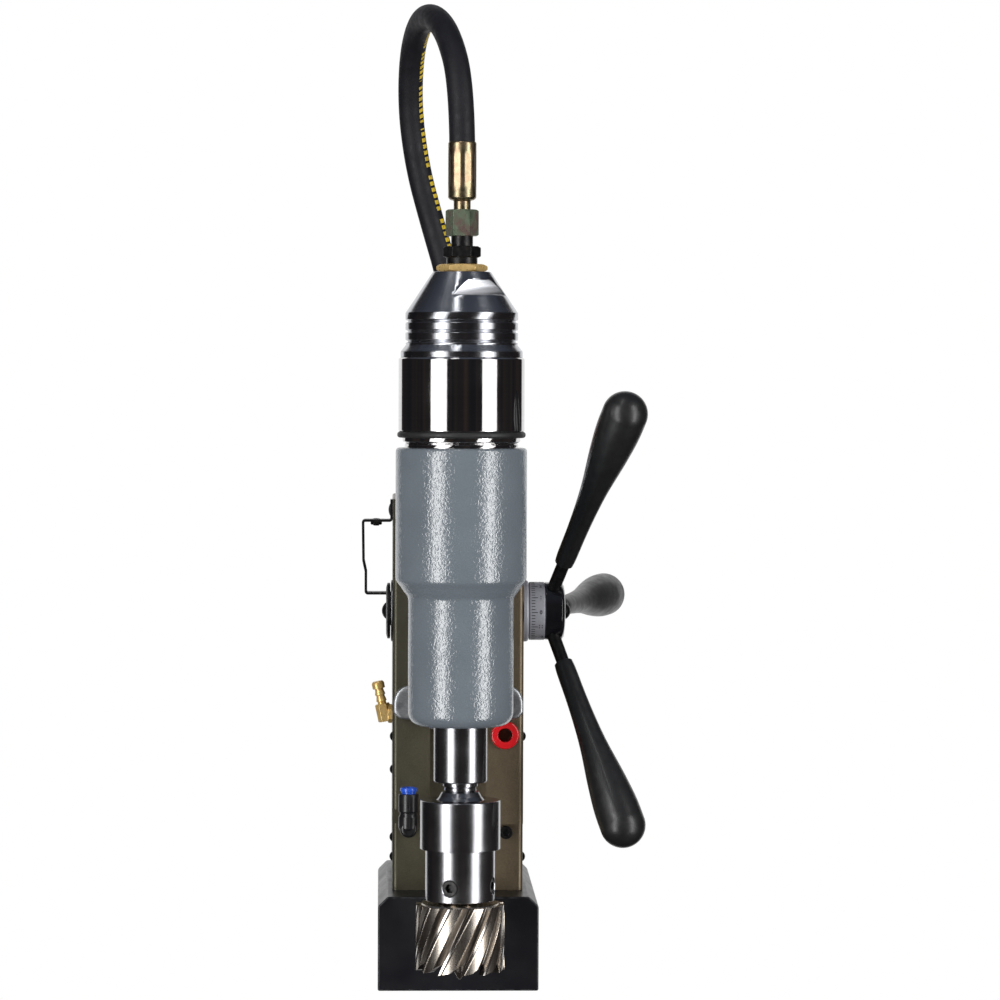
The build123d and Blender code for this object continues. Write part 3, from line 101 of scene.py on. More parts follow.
class Nodes:
    """Short ways to add and link the nodes of one node tree."""

    def __init__(self, tree, coordinates):
        self.tree = tree
        self.place = self.add("ShaderNodeTexCoord").outputs[coordinates]

    def add(self, kind, **settings):
        node = self.tree.nodes.new(kind)
        for key, value in settings.items():
            setattr(node, key, value)
        return node

    def link(self, source, target):
        self.tree.links.new(source, target)

    def stretched(self, scale):
        """The object's own coordinates, in metres, times a scale per axis."""
        node = self.add("ShaderNodeMapping")
        node.inputs["Scale"].default_value = scale
        self.link(self.place, node.inputs["Vector"])
        return node.outputs[0]

    def noise(self, per_metre, detail=3.0, rough=0.55, vector=None, distortion=0.0):
        node = self.add("ShaderNodeTexNoise")
        node.inputs["Scale"].default_value = per_metre
        node.inputs["Detail"].default_value = detail
        node.inputs["Roughness"].default_value = rough
        node.inputs["Distortion"].default_value = distortion
        self.link(vector or self.place, node.inputs["Vector"])
        return node.outputs["Fac"]

    def ramp(self, value, *stops):
        """A value turned into greys or colours, by stops of (position, grey or colour)."""
        node = self.add("ShaderNodeValToRGB")
        element = node.color_ramp.elements
        while len(element) < len(stops):
            element.new(0.5)
        for e, (at, colour) in zip(element, stops):
            e.position = at
            e.color = (*colour, 1) if isinstance(colour, tuple) else (colour, colour, colour, 1)
        self.link(value, node.inputs["Fac"])
        return node.outputs["Color"]

    def maths(self, operation, *values):
        node = self.add("ShaderNodeMath", operation=operation)
        for socket, value in zip(node.inputs, values):
            if isinstance(value, (int, float)):
                socket.default_value = value
            else:
                self.link(value, socket)
        return node.outputs[0]

    def mixed(self, factor, first, second, blend="MIX"):
        """Two colours mixed; each input may be a number, a colour or another node's output."""
        node = self.add("ShaderNodeMix", data_type="RGBA", blend_type=blend)
        for name, value in (("Factor", factor), ("A", first), ("B", second)):
            sockets = [s for s in node.inputs if s.name == name and s.enabled]
            if isinstance(value, tuple):
                sockets[-1].default_value = (*value, 1)
            elif isinstance(value, (int, float)):
                sockets[0].default_value = value
            else:
                self.link(value, sockets[0] if name == "Factor" else sockets[-1])
        return [s for s in node.outputs if s.enabled][-1]

    def parts(self, vector=None):
        """The three parts of a vector."""
        node = self.add("ShaderNodeSeparateXYZ")
        self.link(vector or self.place, node.inputs[0])
        return node.outputs


class Shader(Nodes):
    """A material with one Principled shader."""

    def __init__(self, name, **constants):
        self.material = bpy.data.materials.new(name)
        self.material.use_nodes = True
        super().__init__(self.material.node_tree, "Object")
        self.surface = self.tree.nodes["Principled BSDF"]
        for key, value in constants.items():
            self.surface.inputs[key.replace("_", " ")].default_value = value

    def colour(self, source):
        self.link(source, self.surface.inputs["Base Color"])

    def roughness(self, source):
        self.link(source, self.surface.inputs["Roughness"])

    def bump(self, height, depth_mm, strength=1.0):
        node = self.add("ShaderNodeBump")
        node.inputs["Strength"].default_value = strength
        node.inputs["Distance"].default_value = depth_mm * MM
        self.link(height, node.inputs["Height"])
        self.link(node.outputs[0], self.surface.inputs["Normal"])

    def turned_grain(self):
        """Lets highlights spread along or across turning marks round the Z axis."""
        grain = self.add("ShaderNodeTangent", direction_type="RADIAL", axis="Z")
        self.link(grain.outputs[0], self.surface.inputs["Tangent"])


def hammertone():
    """Glossy grey paint: flat-topped beads with narrow winding valleys between them."""
    s = Shader("hammertone", IOR=1.9)
    s.colour(s.ramp(s.noise(35, 4), (0.3, (0.128, 0.148, 0.166)), (0.7, (0.15, 0.173, 0.192))))
    away = s.maths("ABSOLUTE", s.maths("SUBTRACT", s.noise(430, 1.5, 0.5), 0.5))
    s.roughness(s.ramp(s.noise(420, 3), (0.3, 0.12), (0.75, 0.2)))
    s.bump(s.ramp(away, (0.0, 0.0), (0.13, 1.0)), 0.07)
    return s.material


def machined_face():
    """The casting's milled faces, left bright, with fine cutter marks."""
    s = Shader("machined_face", Metallic=0.9)
    marks = s.noise(1.0, 3, 0.6, vector=s.stretched((500, 500, 3000)))
    s.colour(s.ramp(marks, (0.3, (0.3, 0.31, 0.32)), (0.7, (0.46, 0.47, 0.48))))
    s.roughness(s.ramp(s.noise(300, 3), (0.3, 0.3), (0.7, 0.45)))
    s.bump(marks, 0.02, 0.5)
    return s.material


# How fast the painted sheen changes across the frame, per metre along X.
FRAME_SHEEN_PER_METRE = 14.3


def frame_paint():
    """Dark metallic olive-brown paint, smooth, with faint mottling, and a painted sheen that makes it lighter
    and warmer towards the right side.
    """
    s = Shader("frame_paint", Metallic=0.72, Coat_Weight=0.25, Coat_Roughness=0.3)
    # Painted sheen: the paint runs from dark olive at the left to lighter warm brown at the right, with
    # random mottling on top.
    across = s.maths("MULTIPLY_ADD", s.parts()[0], FRAME_SHEEN_PER_METRE, 0.5)
    across = s.maths("ADD", across, s.maths("MULTIPLY", s.noise(22, 3), 0.25))
    olive, plain, warm_sheen = (0.078, 0.073, 0.047), (0.11, 0.096, 0.062), (0.185, 0.143, 0.09)
    paint = s.ramp(across, (0.12, olive), (0.5, plain), (0.95, warm_sheen))
    flake = s.ramp(s.noise(3800, 1), (0.42, 0.82), (0.62, 1.14))
    s.colour(s.mixed(1.0, paint, flake, "MULTIPLY"))
    s.roughness(s.ramp(s.noise(90, 5), (0.3, 0.4), (0.7, 0.52)))
    s.bump(s.noise(1400, 2), 0.02, 0.5)
    return s.material


def magnet_black():
    """Satin black paint with a light orange-peel skin."""
    s = Shader("magnet_black")
    s.colour(s.ramp(s.noise(45, 5), (0.3, (0.005, 0.005, 0.008)), (0.75, (0.009, 0.009, 0.012))))
    s.roughness(s.ramp(s.noise(60, 5), (0.3, 0.3), (0.72, 0.42)))
    s.bump(s.noise(700, 3), 0.05, 0.5)
    return s.material


def edge_highlight_paint(name, paint, painted_highlight):
    """An edge painted lighter in patches: a painted highlight along the rounded edge."""
    s = Shader(name, Metallic=0.3)
    # The lighter colour, mixed in patches, is a painted highlight.
    s.colour(s.mixed(s.ramp(s.noise(320, 4), (0.4, 0.0), (0.62, 1.0)), paint, painted_highlight))
    s.roughness(s.ramp(s.noise(500, 3), (0.3, 0.28), (0.7, 0.42)))
    s.bump(s.noise(900, 3), 0.04, 0.5)
    return s.material


def polished_metal(name, tone, low, high, marks_per_metre=2600, depth=0.012, spread=0.0, turn=0.0):
    """Bare metal with fine marks, turned or ground round the Z axis."""
    s = Shader(name, Metallic=1.0, Anisotropic=spread, Anisotropic_Rotation=turn)
    if spread:
        s.turned_grain()
    marks = s.noise(1.0, 4, 0.7, vector=s.stretched((3, 3, marks_per_metre)))
    s.bump(marks, depth, 0.6)
    smudge = s.noise(55, 5, 0.6)
    tint = s.maths("ADD", s.maths("MULTIPLY", marks, 0.5), s.maths("MULTIPLY", smudge, 0.5))
    s.colour(s.ramp(tint, (0.3, tuple(c * 0.82 for c in tone)), (0.66, tone)))
    s.roughness(s.ramp(smudge, (0.3, low), (0.7, high)))
    return s.material


def satin_metal(name, tone, low, high):
    """Matt-plated metal that keeps an even grey."""
    s = Shader(name, Metallic=0.55)
    grain = s.noise(900, 3)
    s.colour(s.ramp(grain, (0.3, tuple(c * 0.85 for c in tone)), (0.7, tone)))
    s.roughness(s.ramp(s.noise(300, 3), (0.3, low), (0.7, high)))
    s.bump(grain, 0.01, 0.4)
    return s.material


def tool_steel():
    """Warm ground tool steel with grinding streaks and heat tint."""
    s = Shader("tool_steel", Metallic=1.0)
    streak = s.noise(1.0, 4, 0.7, vector=s.stretched((1600, 1600, 260)))
    tint = s.noise(120, 4, 0.6)
    grey = s.ramp(streak, (0.3, (0.34, 0.31, 0.27)), (0.65, (0.78, 0.71, 0.63)))
    s.colour(s.mixed(s.ramp(tint, (0.45, 0.0), (0.75, 0.45)), grey, (0.52, 0.4, 0.27)))
    s.roughness(s.ramp(streak, (0.3, 0.34), (0.7, 0.2)))
    s.bump(streak, 0.03, 0.6)
    return s.material


def plated(name, tone, tints, low=0.22, high=0.4, scale=170, metallic=1.0):
    """Plated or bare coloured metal with a drifting tint."""
    s = Shader(name, Metallic=metallic)
    drift = s.noise(scale, 3, 0.5, distortion=0.8)
    stops = [(0.25, tone)] + [(0.45 + 0.2 * i, t) for i, t in enumerate(tints)]
    s.colour(s.ramp(drift, *stops))
    s.roughness(s.ramp(s.noise(420, 4), (0.3, low), (0.7, high)))
    s.bump(s.noise(1500, 2), 0.02, 0.5)
    return s.material


def black_oxide():
    """Blackened steel."""
    s = Shader("black_steel", Metallic=0.8)
    s.colour(s.ramp(s.noise(400, 4), (0.35, (0.016, 0.016, 0.017)), (0.75, (0.04, 0.038, 0.036))))
    s.roughness(s.ramp(s.noise(500, 4), (0.3, 0.28), (0.7, 0.45)))
    s.bump(s.noise(1800, 2), 0.02, 0.5)
    return s.material


def moulded(name, tone, low, high, grain_mm=0.02, coat=0.0):
    """A moulded or lacquered plastic."""
    s = Shader(name, Coat_Weight=coat, Coat_Roughness=0.08)
    light = tuple(min(1.0, c * 1.25 + 0.003) for c in tone)
    s.colour(s.ramp(s.noise(140, 4), (0.3, tone), (0.75, light)))
    s.roughness(s.ramp(s.noise(230, 4), (0.3, low), (0.7, high)))
    s.bump(s.noise(1900, 2), grain_mm, 0.5)
    return s.material


def rubber():
    """Black nitrile rubber."""
    s = Shader("rubber")
    s.colour(s.ramp(s.noise(180, 4), (0.3, (0.012, 0.012, 0.012)), (0.75, (0.0216, 0.0216, 0.0216))))
    s.roughness(s.ramp(s.noise(300, 3), (0.3, 0.42), (0.7, 0.62)))
    s.bump(s.noise(1300, 3), 0.05, 0.6)
    return s.material


# The hose's printed line: its place round the hose and half its width, as shares of a turn, and where it
# starts, in metres along. Bars and the gaps between groups of bars stand for lettering.
PRINT_AROUND, PRINT_HALF, PRINT_FROM_M = 0.15, 0.042, 0.1
PRINT_BAR_MM, PRINT_GROUP_MM = 3.6, 26.28
PRINT_BAR_SHARE, PRINT_GROUP_SHARE = 0.62, 0.86
WEAVE_PITCH_MM, WEAVE_STARTS = 0.9, 9.0


def hose_rubber():
    """Cloth-marked black hose cover with a broken yellow line along one side."""
    s = Shader("hose_rubber", Specular_IOR_Level=0.35)
    around, along, _ = s.parts(s.add("ShaderNodeUVMap", uv_map="along").outputs[0])
    printed = s.maths("LESS_THAN", s.maths("ABSOLUTE", s.maths("SUBTRACT", around, PRINT_AROUND)), PRINT_HALF)
    printed = s.maths("MULTIPLY", printed, s.maths("GREATER_THAN", along, PRINT_FROM_M))
    for pitch_mm, share in ((PRINT_BAR_MM, PRINT_BAR_SHARE), (PRINT_GROUP_MM, PRINT_GROUP_SHARE)):
        place = s.maths("FRACT", s.maths("MULTIPLY", along, 1 / (pitch_mm * MM)))
        printed = s.maths("MULTIPLY", printed, s.maths("LESS_THAN", place, share))
    worn_off = s.ramp(s.noise(900, 3), (0.3, 0.35), (0.5, 1.0))
    cover = s.ramp(s.noise(90, 4), (0.3, (0.005, 0.005, 0.008)), (0.75, (0.01, 0.01, 0.0135)))
    s.colour(s.mixed(s.maths("MULTIPLY", printed, worn_off), cover, (0.62, 0.43, 0.02)))
    s.roughness(s.ramp(s.noise(260, 3), (0.3, 0.5), (0.7, 0.68)))
    rise = s.maths("MULTIPLY", along, 1 / (WEAVE_PITCH_MM * MM))
    lean = s.maths("MULTIPLY", around, WEAVE_STARTS)
    threads = [s.maths(way, rise, lean) for way in ("ADD", "SUBTRACT")]
    waves = [s.maths("SINE", s.maths("MULTIPLY", thread, math.tau)) for thread in threads]
    cloth = s.maths("MULTIPLY", s.maths("ADD", *waves), 0.3)
    s.bump(s.maths("ADD", cloth, s.noise(1200, 3)), 0.06, 0.5)
    return s.material


# Metals turned or ground round Z: tone, lowest and highest roughness, marks per metre, their depth in mm,
# how far highlights spread, and the spread's direction.
TURNED_METALS = {
    "chrome": ((0.72, 0.71, 0.71), 0.035, 0.1, 900, 0.002),
    "turned_alloy": ((0.52, 0.53, 0.56), 0.2, 0.28, 5200, 0.012, 0.85, 0.25),
    "ground_steel": ((0.46, 0.46, 0.48), 0.15, 0.21, 4200, 0.003, 0.45),
    "plate_steel": ((0.42, 0.42, 0.43), 0.25, 0.4, 1800, 0.015),
    "pole_steel": ((0.4, 0.4, 0.4), 0.25, 0.4, 600, 0.01),
    "bearing_steel": ((0.5, 0.5, 0.52), 0.2, 0.3),
    "gullet_steel": ((0.26, 0.235, 0.21), 0.28, 0.42, 900, 0.02),
    "margin_steel": ((0.86, 0.82, 0.77), 0.12, 0.2, 900, 0.004),
}
# Plated metals: tone, drifting tints, lowest and highest roughness, drifts per metre, metallic.
PLATED_METALS = {
    "spring_steel": ((0.3, 0.3, 0.31), [(0.45, 0.45, 0.46)]),
    "magnet_metal": ((0.2, 0.2, 0.21), [(0.3, 0.3, 0.31)]),
    "brass": ((0.66, 0.43, 0.13), [(0.86, 0.6, 0.24), (0.76, 0.5, 0.18)], 0.24, 0.38, 170, 0.55),
    "bronze": ((0.4, 0.25, 0.1), [(0.55, 0.36, 0.16)]),
    "yellow_zinc": ((0.25, 0.2, 0.11), [(0.36, 0.3, 0.185), (0.34, 0.24, 0.15)], 0.26, 0.4, 120),
    "olive_zinc": ((0.09, 0.11, 0.075), [(0.2, 0.25, 0.17), (0.2, 0.14, 0.12)], 0.22, 0.36, 150, 0.6),
}
# Moulded plastics and paints: tone, lowest and highest roughness, depth of the grain in mm, clear coat.
PLASTICS = {
    "black_gloss": ((0.006, 0.006, 0.008), 0.1, 0.2, 0.004, 0.8),
    "grip_plastic": ((0.009, 0.009, 0.009), 0.3, 0.44, 0.03, 0.1),
    "black_plastic": ((0.008, 0.008, 0.009), 0.25, 0.4, 0.015, 0.2),
    "red_plastic": ((0.55, 0.006, 0.01), 0.18, 0.3, 0.01, 0.6),
    "blue_plastic": ((0.012, 0.075, 0.5), 0.18, 0.3, 0.01, 0.5),
    "vane_fibre": ((0.3, 0.2, 0.1), 0.5, 0.7),
    "dial_paint": ((0.01, 0.01, 0.012), 0.4, 0.6),
}
MAT = {
    "hammertone": hammertone(),
    "machined_face": machined_face(),
    "frame_paint": frame_paint(),
    # The two edge materials paint a highlight on the rounded edges of the frame and the magnet.
    "frame_edge": edge_highlight_paint("frame_edge", (0.16, 0.14, 0.095), (0.3, 0.28, 0.22)),
    "magnet_black": magnet_black(),
    "magnet_edge": edge_highlight_paint("magnet_edge", (0.012, 0.012, 0.015), (0.05, 0.05, 0.055)),
    "scale_metal": satin_metal("scale_metal", (0.52, 0.52, 0.56), 0.42, 0.55),
    "tool_steel": tool_steel(),
    "black_steel": black_oxide(),
    "rubber": rubber(),
    "hose_rubber": hose_rubber(),
}
for make, looks in ((polished_metal, TURNED_METALS), (plated, PLATED_METALS), (moulded, PLASTICS)):
    MAT.update({name: make(name, *look) for name, look in looks.items()})

SLOT_OF = {entry["node"]: entry["material_slot"] for entry in frame["record"]["subparts"]}


# -------------------------------------------------------------- mesh building


def finished(name, mesh, material, body=None, replaces=()):
    """An object from a mesh, smooth except at sharp edges, riding on a body."""
    for polygon in mesh.polygons:
        polygon.use_smooth = True
    mesh.set_sharp_from_angle(angle=SHARP_ANGLE)
    mesh.materials.clear()
    mesh.materials.append(MAT[material])
    piece = bpy.data.objects.new(name, mesh)
    bpy.context.scene.collection.objects.link(piece)
    if body:
        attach(piece, body)
    if replaces:
        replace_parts(piece, *replaces)
    return piece


EDGE_SEGMENTS = 2
WELD_MM = 0.002
FLAT_ANGLE = math.radians(0.6)


def bevelled(piece, width_mm, angle_deg=34, clamp=False):
    """Real rounded edges, as a modifier that the render reads."""
    bevel = piece.modifiers.new("edges", "BEVEL")
    bevel.width = width_mm * MM
    bevel.segments = EDGE_SEGMENTS
    bevel.limit_method = "ANGLE"
    bevel.angle_limit = math.radians(angle_deg)
    bevel.use_clamp_overlap = clamp
    bevel.harden_normals = True
    return piece


def body_of(node):
    return frame["nodes"][node]["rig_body"]


def softened(node, width_mm, edge=None):
    """A CAD node's shape with its edges rounded, standing for that node; edge names their own material."""
    mesh = frame["nodes"][node].data.copy()
    work = bmesh.new()
    work.from_mesh(mesh)
    bmesh.ops.remove_doubles(work, verts=work.verts, dist=WELD_MM * MM)
    bmesh.ops.dissolve_limit(work, angle_limit=FLAT_ANGLE, verts=work.verts, edges=work.edges)
    work.to_mesh(mesh)
    work.free()
    slot = SLOT_OF[node]
    piece = finished(node + "_skin", mesh, slot, body_of(node), (node,))
    if width_mm:
        bevelled(piece, width_mm, clamp=node in CLAMPED)
    if edge:
        mesh.materials.append(MAT[edge])
        piece.modifiers["edges"].material = 1
    return piece


TINY = 1e-6
NEARLY_STRAIGHT = math.radians(88)
LONGEST_REACH = 0.48
ROUND_STEPS = 4


def rounded(points, radius):
    """A closed profile of (r, z) whose corners are rounded; a third value sets a corner's own radius."""
    out = []
    for i, point in enumerate(points):
        here = Vector(point[:2])
        a = Vector(points[i - 1][:2]) - here
        b = Vector(points[(i + 1) % len(points)][:2]) - here
        size = point[2] if len(point) > 2 else radius
        square = size == 0 or here.x < TINY or a.length < TINY or b.length < TINY
        if square or a.angle(b) / 2 > NEARLY_STRAIGHT:
            out.append(tuple(here))
            continue
        reach = min(size / math.tan(a.angle(b) / 2), a.length * LONGEST_REACH, b.length * LONGEST_REACH)
        start = here + a.normalized() * reach
        stop = here + b.normalized() * reach
        for k in range(ROUND_STEPS + 1):
            t = k / ROUND_STEPS
            out.append(tuple(start * (1 - t) ** 2 + here * 2 * t * (1 - t) + stop * t**2))
    return out


def turned_mesh(name, profile, line, segments, shape=None):
    """A closed profile of (r, z) turned about a vertical line; shape(r, z, angle) may change r."""
    mesh = bpy.data.meshes.new(name)
    work = bmesh.new()
    rings = []
    for r, z in profile:
        if r < TINY:
            rings.append([work.verts.new((line[0] * MM, line[1] * MM, z * MM))])
            continue
        ring = []
        for k in range(segments):
            angle = 2 * math.pi * k / segments
            rr = shape(r, z, angle) if shape else r
            place = (line[0] + rr * math.cos(angle), line[1] + rr * math.sin(angle), z)
            ring.append(work.verts.new([v * MM for v in place]))
        rings.append(ring)
    for ring, following in zip(rings, rings[1:] + rings[:1]):
        join_rings(work, ring, following)
    bmesh.ops.recalc_face_normals(work, faces=work.faces)
    work.to_mesh(mesh)
    work.free()
    return mesh


def join_rings(work, first, second):
    """Faces between two rings of vertices; a ring of one vertex is a point on the axis."""
    count = max(len(first), len(second))
    if count == 1:
        return
    for k in range(count):
        corners = [first[k % len(first)], first[(k + 1) % len(first)]]
        corners += [second[(k + 1) % len(second)], second[k % len(second)]]
        unique = list(dict.fromkeys(corners))
        if len(unique) > 2:
            work.faces.new(unique)


def joined(name, meshes):
    """Several meshes as one."""
    whole = bmesh.new()
    for mesh in meshes:
        whole.from_mesh(mesh)
        bpy.data.meshes.remove(mesh)
    mesh = bpy.data.meshes.new(name)
    whole.to_mesh(mesh)
    whole.free()
    return mesh


def lay_over(mesh, centre, turn):
    """Turns a mesh made about the Z axis so that its axis runs another way, then moves it."""
    place = Matrix.Translation(Vector(centre) * MM) @ turn
    mesh.transform(place)
    return mesh


ALONG_X = Matrix.Rotation(math.pi / 2, 4, "Y")
ALONG_Y = Matrix.Rotation(-math.pi / 2, 4, "X")

NUT_BORE_SHARE = 0.8
NUT_END_SHARE = 0.985
NUT_CORNER_SLOPE = 1.9
NUT_STEPS = (0.0, 0.25, 0.5, 0.8, 1.2, 1.6)
NUT_SEGMENTS = 180


def hexagonal(across_flats, turn_deg, z0, z1):
    """A radius rule for a nut: flats, with the corners taken off at both ends."""
    flat = across_flats / 2
    turn = math.radians(turn_deg)

    def rule(r, z, angle):
        if r < flat * NUT_BORE_SHARE:
            return r
        local = (angle - turn) % (math.pi / 3) - math.pi / 6
        from_end = max(min(z - z0, z1 - z), 0)
        return min(flat / math.cos(local), flat * NUT_END_SHARE + from_end * NUT_CORNER_SLOPE)

    return rule


def nut(name, node, across_flats, z0, z1, bore, turn_deg, material):
    """A hexagon nut or collar on the spindle line, with chamfered corners."""
    levels = [z0 + step for step in NUT_STEPS] + [z1 - step for step in reversed(NUT_STEPS)]
    profile = [(bore, z0)] + [(across_flats / math.sqrt(3), z) for z in levels] + [(bore, z1)]
    mesh = turned_mesh(name, profile, SPINDLE_LINE, NUT_SEGMENTS, hexagonal(across_flats, turn_deg, z0, z1))
    return bevelled(finished(name, mesh, material, body_of(node), replaces=(node,)), 0.15, 25)


# ---------------------------------------------------------------------- camera

CAMERA_PLACE_MM = (-41.7, -2140.0, 323.6)
CAMERA_TILT_DEG, CAMERA_YAW_DEG, CAMERA_ROLL_DEG = 90 - 1.762, -1.751, 0.2
FOCAL_PER_WIDTH = 3.908
SENSOR_MM = 36.0


def camera():
    """A long lens in front of the machine, a little above its middle and looking slightly down."""
    data = bpy.data.cameras.new("camera")
    data.sensor_width = SENSOR_MM
    data.lens = FOCAL_PER_WIDTH * SENSOR_MM
    data.clip_start = 0.05
    seat = bpy.data.objects.new("camera", data)
    seat.location = Vector(CAMERA_PLACE_MM) * MM
    look = Euler((math.radians(CAMERA_TILT_DEG), 0.0, math.radians(CAMERA_YAW_DEG))).to_matrix()
    seat.rotation_euler = (look @ Matrix.Rotation(math.radians(CAMERA_ROLL_DEG), 3, "Z")).to_euler()
    bpy.context.scene.collection.objects.link(seat)
    bpy.context.scene.camera = seat


camera()

# ------------------------------------------------------------------- air hose

HOSE_ROUTE_M = [
    (0.0, -0.120, 0.434),
    (0.0, -0.120, 0.474),
    (-0.0075, -0.0965, 0.5065),
    (-0.018, -0.058, 0.519),
    (-0.025, -0.0195, 0.506),
    (-0.0265, 0.004, 0.474),
    (-0.022, 0.011, 0.440),
    (-0.0135, 0.0125, 0.409),
    (-0.0043, 0.0115, 0.378),
    (0.0, 0.010, 0.346),
    (0.0, 0.010, 0.318),
]
HOSE_DIAMETER = 0.0134
HOSE_SIDES = 40


def hose_line():
    """Points along the smooth line that the route's points steer."""
    curve = bpy.data.curves.new("hose_route", "CURVE")
    curve.dimensions = "3D"
    curve.resolution_u = 24
    spline = curve.splines.new("NURBS")
    spline.points.add(len(HOSE_ROUTE_M) - 1)
    for point, place in zip(spline.points, HOSE_ROUTE_M):
        point.co = (*place, 1)
    spline.order_u = 3
    spline.use_endpoint_u = True
    holder = bpy.data.objects.new("hose_route", curve)
    mesh = bpy.data.meshes.new_from_object(holder)
    points = [v.co.copy() for v in mesh.vertices]
    bpy.data.objects.remove(holder)
    bpy.data.meshes.remove(mesh)
    return points


def tube_mesh(name, points, radius, sides):
    """A tube about a line, with a UV map: u round it, v in metres along it."""
    mesh = bpy.data.meshes.new(name)
    work = bmesh.new()
    layer = work.loops.layers.uv.new("along")
    rings = []
    travelled = 0.0
    side = Vector((1, 0, 0))
    distance = []
    for i, place in enumerate(points):
        ahead = points[min(i + 1, len(points) - 1)] - points[max(i - 1, 0)]
        ahead.normalize()
        side = (side - ahead * side.dot(ahead)).normalized()
        up = ahead.cross(side)
        if i:
            travelled += (place - points[i - 1]).length
        distance.append(travelled)
        ring = []
        for k in range(sides):
            angle = 2 * math.pi * k / sides
            ring.append(work.verts.new(place + (side * math.cos(angle) + up * math.sin(angle)) * radius))
        rings.append(ring)
    for i in range(len(rings) - 1):
        for k in range(sides):
            follow = (k + 1) % sides
            face = work.faces.new((rings[i][k], rings[i][follow], rings[i + 1][follow], rings[i + 1][k]))
            places = ((k, i), (k + 1, i), (k + 1, i + 1), (k, i + 1))
            for loop, (u, v) in zip(face.loops, places):
                loop[layer].uv = (u / sides, distance[v])
    work.faces.new(list(reversed(rings[0])))
    work.faces.new(rings[-1])
    bmesh.ops.recalc_face_normals(work, faces=work.faces)
    work.to_mesh(mesh)
    work.free()
    return mesh


def air_hose():
    """The hose from the ferrule on the motor to the valve block."""
    points = hose_line()
    mesh = tube_mesh("hose_cover", points, HOSE_DIAMETER / 2, HOSE_SIDES)
    hose = finished("hose_cover", mesh, "hose_rubber")
    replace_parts(hose, "air_hose")
    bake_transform(hose)


air_hose()

# --------------------------------------------------------------------- cutter

CUTTER_LOW, CUTTER_TOP, SHANK_TOP = 17.3, 51.8, 80.5
CUTTER_R, CUTTER_BORE_R, SHANK_R = 23.25, 19.0, 9.525
CUTTER_ROOF = 46.0
CUTTER_TEETH = 12
CUTTER_TWIST_DEG_PER_MM = 1.256
TOOTH_STEPS = 30
TOOTH_ROWS = 26
GULLET_DEPTH = 3.0
GULLET_RISE = 5.5
LAND_DROP = 0.4
EDGE_RISE = 1.1
# Where each part of a tooth ends, as shares of the tooth's pitch: round it, then along its foot.
MARGIN_END, RELIEF_END, LAND_END, GULLET_END = 0.1, 0.14, 0.6, 0.93
EDGE_END, SLOPE_END = 0.45, 0.94
# How far faces may lie from the crown's top, bore, land and margin and still count as part of them.
TOP_SKIN, BORE_SKIN, LAND_SKIN, MARGIN_SKIN = 0.3, 0.3, 0.35, 0.06


def tooth_radius(phase):
    """Outer radius across one tooth: margin, relieved land, rounded gullet, steep face."""
    if phase < MARGIN_END:
        return CUTTER_R
    if phase < RELIEF_END:
        return CUTTER_R - LAND_DROP * (phase - MARGIN_END) / (RELIEF_END - MARGIN_END)
    if phase < LAND_END:
        return CUTTER_R - LAND_DROP
    if phase < GULLET_END:
        t = (phase - LAND_END) / (GULLET_END - LAND_END)
        return CUTTER_R - LAND_DROP - (GULLET_DEPTH - LAND_DROP) * math.sin(t * math.pi / 2) ** 1.3
    return CUTTER_R - GULLET_DEPTH * (1 - (phase - GULLET_END) / (1 - GULLET_END))


def tooth_foot(phase):
    """How far the tooth's foot stands above the tips: a sloped edge, then the gullet."""
    if phase < EDGE_END:
        return EDGE_RISE * phase / EDGE_END
    if phase < SLOPE_END:
        t = (phase - EDGE_END) / (SLOPE_END - EDGE_END)
        return EDGE_RISE + (GULLET_RISE - EDGE_RISE) * math.sin(t * math.pi / 2)
    return GULLET_RISE * (1 - (phase - SLOPE_END) / (1 - SLOPE_END))


